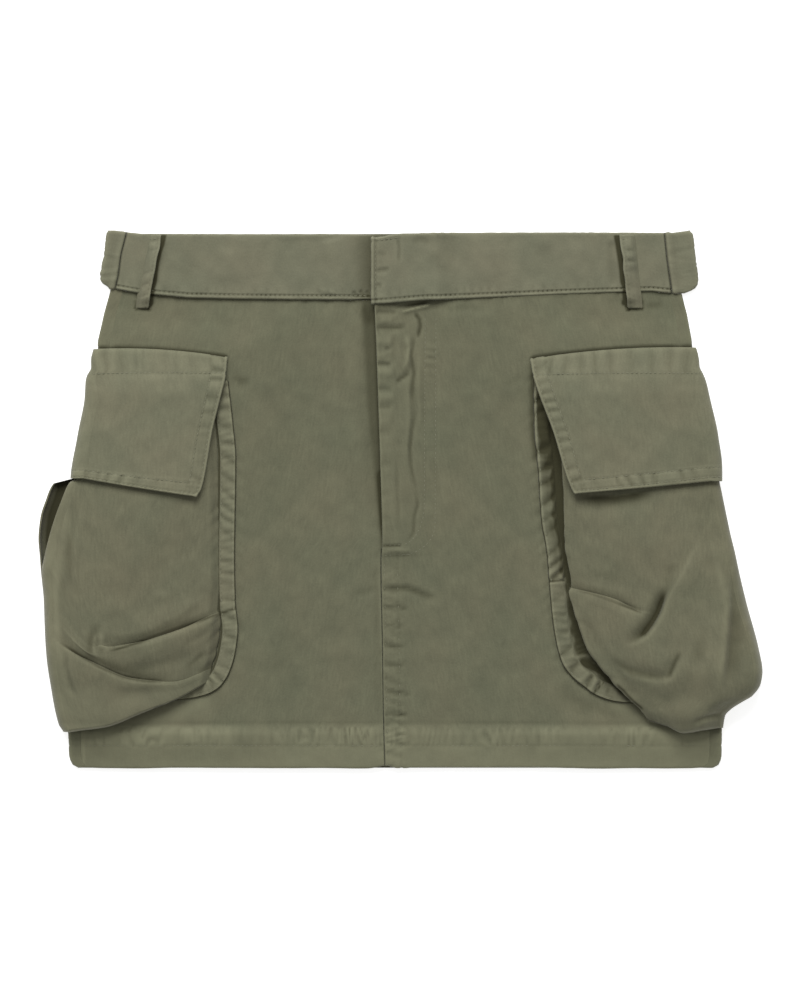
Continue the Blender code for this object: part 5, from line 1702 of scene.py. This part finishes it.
def flap_stitching(way, sizes):
    """Two rows along the flap's foot and its inner edge, and one across its head."""
    name = "pocket_flap_" + SIDE[way]
    points, (down, low, inside) = LATTICES[name], LATTICE_MARKS[name]
    reach = 96 if way < 0 else 120
    (outer_foot, inner_foot), (outer_side, inner_side) = FLAP_FOOT_ROWS, FLAP_SIDE_ROWS
    deep = float(down.max())
    paths = [
        marked_path(points, down, FLAP_HEAD_ROW, inside, outer_side, reach),
        marked_path(points, low, inner_foot, inside, inner_side, reach),
        marked_path(points, low, outer_foot, inside, outer_side, reach),
        marked_path(points, inside, outer_side, down, outer_side, deep - outer_foot),
        marked_path(points, inside, inner_side, down, FLAP_HEAD_ROW, deep - inner_foot),
    ]
    thread_rows(name, paths, sizes, "flap")


def offset_line(table, away, way):
    """A line beside a gusset's outer edge."""
    values = np.array(table, float)[:, :2]
    marks = marks_along(values)
    lengths = np.arange(0, marks[-1], 2)
    x, y = spline(marks, values[:, 0], lengths), spline(marks, values[:, 1], lengths)
    run_x, run_y = np.gradient(x), np.gradient(y)
    size = np.hypot(run_x, run_y)
    return np.stack((x - way * run_y / size * away, y + way * run_x / size * away), -1)


def body_stitching(sizes):
    """The hem, and on the right front the centre seam and the fly."""
    heights = np.linspace(-171, -40, 60)
    centre = read(CENTRE_FRONT, "x", heights)
    hem_left, hem_right = ([(x, HEM_STITCH) for x in np.linspace(start, stop, 80)]
                           for start, stop in ((-206, -11.5), (-9, 200)))
    seams = [np.stack((centre + row, heights), -1) for row in CENTRE_ROWS]
    fly = [list(zip(x, y))[::-1] for y, x in fly_rows()]
    tacks = [((-11, -30.4), (1, -30)), ((-10.8, -36.9), (8.8, -36.2))]
    for way, paths in ((LEFT, [hem_left]), (RIGHT, [hem_right] + seams + fly + tacks)):
        thread_rows("front_" + SIDE[way], paths, sizes, "panel", 0.9)


def band_stitching(sizes):
    """Along the waistband's lower edge, and round the lapped end of its right half."""
    low = BAND_ROW / BAND_HIGH
    left = np.linspace(BAND_LEFT, -19.5, 90)
    right = np.linspace(-15, BAND_RIGHT, 100)
    edge = [(OVERLAP_X + 2.5, y) for y in np.linspace(130, 167.4, 20)]
    top = [(x, 167.6 + (x - OVERLAP_X) * 0.12) for x in np.linspace(OVERLAP_X + 2.5, -1, 10)]
    row_left = np.stack((left, band_y(left, low)), -1)
    row_right = np.stack((right, band_y(right, low) - overlap_drop(right, low)), -1)
    for way, paths in ((LEFT, [row_left]), (RIGHT, [row_right, edge, top])):
        thread_rows("waistband_" + SIDE[way], paths, sizes, "band")


def loop_stitching(sizes):
    """The tack across the top of each belt loop."""
    for side in SIDE.values():
        middle = float(read(LOOPS, side, LOOP_TACK))
        tack = ((middle - 4, LOOP_TACK), (middle + 4.2, LOOP_TACK))
        thread_rows("belt_loop_" + side, [tack], sizes, "band")


def gusset_stitching(way, sizes):
    """The rows along the gusset's sewn edge, as far as they show."""
    shown = GUSSET_ROWS if way < 0 else GUSSET_ROWS[:1]
    paths = [offset_line(GUSSETS[way], row, way)[:150] for row in shown]
    thread_rows("pocket_gusset_" + SIDE[way], paths, sizes, "gusset", 0.7)


# Finishes.


class Wire:
    """One output of a material's nodes. Arithmetic on it adds Math nodes."""

    def __init__(self, tree, socket=None):
        self.tree = tree
        self.socket = socket

    def node(self, kind, settings, values, output=0):
        """Adds a node: its settings first, then what its sockets hold or are linked to; gives one output."""
        made = self.tree.nodes.new(kind)
        for name, value in settings.items():
            setattr(made, name, value)
        for name, value in values.items():
            if isinstance(value, Wire):
                self.tree.links.new(value.socket, made.inputs[name])
            else:
                made.inputs[name].default_value = value
        return Wire(self.tree, made.outputs[output])

    def math(self, operation, *values):
        return self.node("ShaderNodeMath", {"operation": operation}, dict(enumerate(values)))

    def __add__(self, other):
        return self.math("ADD", self, other)

    __radd__ = __add__

    def __sub__(self, other):
        return self.math("SUBTRACT", self, other)

    def __rsub__(self, other):
        return self.math("SUBTRACT", other, self)

    def __mul__(self, other):
        return self.math("MULTIPLY", self, other)

    __rmul__ = __mul__

    def clamp(self):
        return self.node("ShaderNodeClamp", {}, {"Value": self})

    def blend(self, low, high):
        """A colour between two, by this share."""
        return self.node("ShaderNodeMix", {"data_type": "RGBA"}, {0: self, 6: low, 7: high}, 2)

    def cloud(self, size, detail):
        """Soft noise in patches about this wide, in the unit of the place that it is read at."""
        return self.node("ShaderNodeTexNoise", {}, {"Vector": self, "Scale": 1 / size, "Detail": detail})

    def bump(self, strength, distance):
        return self.node("ShaderNodeBump", {}, {"Strength": strength, "Distance": distance, "Height": self})

    def feed(self, shader, name):
        self.tree.links.new(self.socket, shader.inputs[name])


def solid_colour(colour, share=1):
    """A colour for a socket. share scales it: one number, or one for each channel."""
    return (*np.minimum(np.multiply(tuple(colour), share), 1), 1)


def new_finish(name):
    """A new material, its shader, and a wire to start its other nodes from."""
    made = bpy.data.materials.new(name)
    made.use_nodes = True
    return made, made.node_tree.nodes["Principled BSDF"], Wire(made.node_tree)


def twill_finish(name, colour, sizes, grain):
    """Washed cotton twill: steep fine wales, a soft nap, faint warm clouds, paler ridges for wear and painted
    light, and painted shade in grooves.
    """
    made, shader, start = new_finish(name)
    cloth = start.node("ShaderNodeAttribute", {"attribute_name": "cloth"}, {}, "Vector")
    ridge = start.node("ShaderNodeAttribute", {"attribute_name": "ridge"}, {}, "Fac")
    across, along = (cloth.node("ShaderNodeSeparateXYZ", {}, {0: cloth}, axis) for axis in "XY")
    patch = cloth.cloud(46, 2)
    streak = cloth.cloud(11, 3)
    fuzz = cloth.cloud(1.1, 2)
    wander = 1.6 * cloth.cloud(24, 1)
    turn = 2 * math.pi / (sizes.wale_pitch / MM)
    wale = 0.5 + 0.5 * ((across + 0.16 * along) * turn + wander * 4).math("SINE")
    weft = 0.5 + 0.5 * ((along - 0.1 * across) * (turn * 1.9)).math("SINE")
    strength = (2.2 * cloth.cloud(17, 1) - 0.6).clamp()
    weave = 0.72 * wale + 0.28 * weft
    stretched = {"X": (across + 0.14 * along) * (1 / 1.5), "Y": along * (1 / 8)}
    ribs = cloth.node("ShaderNodeCombineXYZ", {}, stretched).cloud(1, 2)
    cool, warm = solid_colour(colour, (0.975, 1.005, 1)), solid_colour(colour, (1.03, 0.995, 0.99))
    tone = (2.4 * patch - 0.7).clamp().blend(cool, warm)
    shade = 1 + 0.30 * grain * (weave - 0.5) * strength + 0.30 * (fuzz - 0.5) + 0.40 * (streak - 0.5)
    shade = shade + 0.18 * (patch - 0.5) + 0.40 * grain * (ribs - 0.5) * (0.4 + 0.9 * strength)
    tone = tone.node("ShaderNodeVectorMath", {"operation": "SCALE"}, {0: tone, "Scale": shade})
    # Paler where the ridge value is above 0: wear and painted light.
    pale = (ridge * 0.55).clamp() * (0.7 + 0.6 * streak)
    tone = pale.blend(tone, solid_colour(colour, 1.62))
    # Painted shade where the ridge value is below 0.
    painted_shade_share = (0 - ridge * 0.42).clamp()
    tone = painted_shade_share.blend(tone, solid_colour(colour, (0.26, 0.25, 0.16)))
    tone.feed(shader, "Base Color")
    (0.86 - 0.10 * pale + 0.06 * (fuzz - 0.5)).feed(shader, "Roughness")
    height = 0.6 * weave * (0.35 + 0.65 * strength) + 0.5 * fuzz + 0.8 * grain * ribs
    height = height + 0.8 * cloth.cloud(3.2, 2)
    height.bump(0.55, sizes.weave_depth).feed(shader, "Normal")
    shader.inputs["Sheen Weight"].default_value = 0.12
    shader.inputs["Sheen Roughness"].default_value = 0.45
    shader.inputs["Specular IOR Level"].default_value = 0.28
    return made


def thread_finish(name, colour):
    """Twisted sewing thread."""
    made, shader, start = new_finish(name)
    place = start.node("ShaderNodeTexCoord", {}, {}, "Object")
    twist = place.node("ShaderNodeTexNoise", {}, {"Vector": place, "Scale": 420, "Detail": 2})
    tone = twist.blend(solid_colour(colour, 0.8), solid_colour(colour, 1.2))
    tone.feed(shader, "Base Color")
    (0.5 + 0.2 * twist).feed(shader, "Roughness")
    twist.bump(0.4, 0.0001).feed(shader, "Normal")
    return made


def floor_finish(colour):
    """A pale floor that stays near white."""
    made, shader, start = new_finish("pale_floor")
    place = start.node("ShaderNodeTexCoord", {}, {}, "Object")
    grain = place.node("ShaderNodeTexNoise", {}, {"Vector": place, "Scale": 30, "Detail": 3})
    grain.blend(solid_colour(colour, 0.995), solid_colour(colour)).feed(shader, "Base Color")
    shader.inputs["Roughness"].default_value = 0.9
    shader.inputs["Specular IOR Level"].default_value = 0.1
    shader.inputs["Emission Color"].default_value = (1, 1, 1, 1)
    shader.inputs["Emission Strength"].default_value = 0.72
    return made


# Each kind of cloth: its material slot, and how strongly its grain shows.
Kind = namedtuple("Kind", "slot grain")
KINDS = {
    "panel": Kind("panel_twill", 0.8),
    "band": Kind("band_twill", 0.3),
    "flap": Kind("band_twill", 0.8),
    "pocket": Kind("pocket_twill", 1),
    "gusset": Kind("gusset_twill", 0.5),
}


def shared_finish(kind):
    """The finish of one kind of piece, made the first time it is asked for."""
    cloth = bpy.context.scene.skirt_cloth
    found = bpy.data.materials.get(kind)
    if found is not None:
        return found
    if kind == "thread":
        return thread_finish(kind, cloth.thread_colour)
    return twill_finish(kind, getattr(cloth, kind + "_colour"), cloth, KINDS[kind].grain)


# What a user would change.


def colour_property(name, description, default):
    return FloatVectorProperty(name=name, description=description, default=default, size=3, min=0, max=1,
                               subtype="COLOR")


def length_property(name, description, default):
    return FloatProperty(name=name, description=description, default=default, min=0, unit="LENGTH",
                         subtype="DISTANCE", precision=5)


class SkirtCloth(bpy.types.PropertyGroup):
    pucker_depth: length_property("Pucker depth", "Height of the puckers along the seams", 0.0006)
    weave_depth: length_property("Weave depth", "Relief of the twill and its nap", 0.00025)
    wale_pitch: length_property("Wale pitch", "Distance between the twill's wales", 0.0014)
    stitch_pitch: length_property("Stitch pitch", "Distance from one stitch to the next", 0.0030)
    stitch_length: length_property("Stitch length", "Length of a stitch that shows", 0.0022)
    thread_width: length_property("Thread width", "Width of the sewing thread", 0.0005)
    panel_colour: colour_property("Panels", "Cloth of the body", (0.119, 0.1185, 0.0735))
    band_colour: colour_property("Waistband", "Cloth of the waistband and belt loops", (0.146, 0.144, 0.0945))
    flap_colour: colour_property("Flaps", "Cloth of the pocket flaps", (0.139, 0.137, 0.0875))
    pocket_colour: colour_property("Pockets", "Cloth of the pocket bags", (0.123, 0.120, 0.0750))
    gusset_colour: colour_property("Gussets", "Cloth of the gussets' sewn edges", (0.134, 0.132, 0.084))
    thread_colour: colour_property("Thread", "Sewing thread", (0.165, 0.163, 0.106))


class SkirtStage(bpy.types.PropertyGroup):
    floor_colour: colour_property("Floor", "Colour of the floor", (0.7, 0.7, 0.7))
    floor_width: length_property("Floor width", "Side of the square floor", 5)
    view_height: length_property("View height", "Height of the surface that the camera takes in", 0.65)
    view_y: FloatProperty(name="View centre", description="Centre of the view along Y", default=-0.0008,
                          unit="LENGTH")
    camera_up: length_property("Camera height", "Height of the camera over the cloth", 6)
    lamp_power: FloatProperty(name="Lamp", description="Power of the large soft lamp", default=225,
                              unit="POWER")
    lamp_width: length_property("Lamp width", "Side of the square lamp", 2.6)
    sky: FloatProperty(name="Surround", description="Brightness of the pale surround", default=0.44)


def sew_both(context, *sewers):
    """Runs each sewing function for the left side, then for the right."""
    for way in SIDE:
        for sewer in sewers:
            sewer(way, context.scene.skirt_cloth)
    return {"FINISHED"}


class PanelsOperator(bpy.types.Operator):
    """Sew the back, both fronts and the fly shield"""
    bl_idname = "skirt.panels"
    bl_label = "Body panels"

    def execute(self, context):
        back_panel(context.scene.skirt_cloth)
        fly_shield()
        return sew_both(context, front_panel)


class WaistbandOperator(bpy.types.Operator):
    """Sew the waistband's back and its two front halves"""
    bl_idname = "skirt.waistband"
    bl_label = "Waistband"

    def execute(self, context):
        waistband_back(context.scene.skirt_cloth)
        return sew_both(context, front_band)


class BeltLoopsOperator(bpy.types.Operator):
    """Sew the two belt loops"""
    bl_idname = "skirt.belt_loops"
    bl_label = "Belt loops"

    def execute(self, context):
        return sew_both(context, belt_loop)


class GussetsOperator(bpy.types.Operator):
    """Sew the edges of the pocket gussets to the fronts"""
    bl_idname = "skirt.gussets"
    bl_label = "Pocket gussets"

    def execute(self, context):
        return sew_both(context, gusset)


class PocketsOperator(bpy.types.Operator):
    """Sew the front and back halves of the pocket bags"""
    bl_idname = "skirt.pockets"
    bl_label = "Pocket bags"

    def execute(self, context):
        return sew_both(context, pocket_back, pocket_front)


class FlapsOperator(bpy.types.Operator):
    """Sew the pocket flaps"""
    bl_idname = "skirt.flaps"
    bl_label = "Pocket flaps"

    def execute(self, context):
        return sew_both(context, pocket_flap)


class StitchingOperator(bpy.types.Operator):
    """Run the rows of stitches over the sewn pieces"""
    bl_idname = "skirt.stitching"
    bl_label = "Stitching"

    def execute(self, context):
        cloth = context.scene.skirt_cloth
        body_stitching(cloth)
        band_stitching(cloth)
        loop_stitching(cloth)
        return sew_both(context, flap_stitching, gusset_stitching)


# Heights in metres: the floor, just under the cloth, and the middle of the cloth.
FLOOR_LOW = -0.0002
CLOTH_LEVEL = 0.008


class StageOperator(bpy.types.Operator):
    """Lay the pale floor and set up the camera and the soft light"""
    bl_idname = "skirt.stage"
    bl_label = "Floor, light and camera"

    def execute(self, context):
        stage = context.scene.skirt_stage
        half = stage.floor_width / 2
        square = ((-half, -half), (half, -half), (half, half), (-half, half))
        corners = np.array([(x, y, FLOOR_LOW) for x, y in square]) / MM
        floor = mesh_object("floor", corners, np.array([[0, 1, 2, 3]]))
        floor.data.materials.append(floor_finish(stage.floor_colour))
        lamp = bpy.data.lights.new("soft_lamp", "AREA")
        lamp.shape = "SQUARE"
        lamp.size = stage.lamp_width
        lamp.energy = stage.lamp_power
        holder = bpy.data.objects.new("soft_lamp", lamp)
        holder.location = (-0.5, 3.2, 3.4)
        holder.rotation_euler = (-holder.location).to_track_quat("-Z", "Y").to_euler()
        holder.visible_camera = False
        context.scene.collection.objects.link(holder)
        world = bpy.data.worlds.new("pale_surround")
        world.use_nodes = True
        surround = world.node_tree.nodes["Background"]
        surround.inputs["Color"].default_value = (1, 1, 1, 1)
        surround.inputs["Strength"].default_value = stage.sky
        context.scene.world = world
        context.scene.view_settings.view_transform = "Standard"
        camera = bpy.data.cameras.new("camera")
        camera.sensor_width = 36
        camera.lens = camera.sensor_width * stage.camera_up / stage.view_height
        camera.clip_end = 100
        eye = bpy.data.objects.new("camera", camera)
        eye.location = (0, stage.view_y, stage.camera_up + CLOTH_LEVEL)
        context.scene.collection.objects.link(eye)
        context.scene.camera = eye
        return {"FINISHED"}


class SkirtPanel(bpy.types.Panel):
    """Lists the pieces of the skirt"""
    bl_idname = "VIEW3D_PT_skirt"
    bl_label = "Cargo skirt"
    bl_space_type = "VIEW_3D"
    bl_region_type = "UI"
    bl_category = "Skirt"

    def draw(self, context):
        for operator in OPERATORS:
            self.layout.operator(operator.bl_idname)
        for group in (context.scene.skirt_cloth, context.scene.skirt_stage):
            box = self.layout.box()
            for name in group.__annotations__:
                box.prop(group, name)


OPERATORS = (PanelsOperator, WaistbandOperator, BeltLoopsOperator, GussetsOperator, PocketsOperator,
             FlapsOperator, StitchingOperator, StageOperator)
CLASSES = (SkirtCloth, SkirtStage) + OPERATORS + (SkirtPanel,)


def register():
    for made in CLASSES:
        bpy.utils.register_class(made)
    bpy.types.Scene.skirt_cloth = PointerProperty(type=SkirtCloth)
    bpy.types.Scene.skirt_stage = PointerProperty(type=SkirtStage)


def unregister():
    del bpy.types.Scene.skirt_stage
    del bpy.types.Scene.skirt_cloth
    for made in reversed(CLASSES):
        bpy.utils.unregister_class(made)


def main():
    register()
    for operator in OPERATORS:
        group, name = operator.bl_idname.split(".")
        getattr(getattr(bpy.ops, group), name)()


if __name__ == "__main__":
    main()
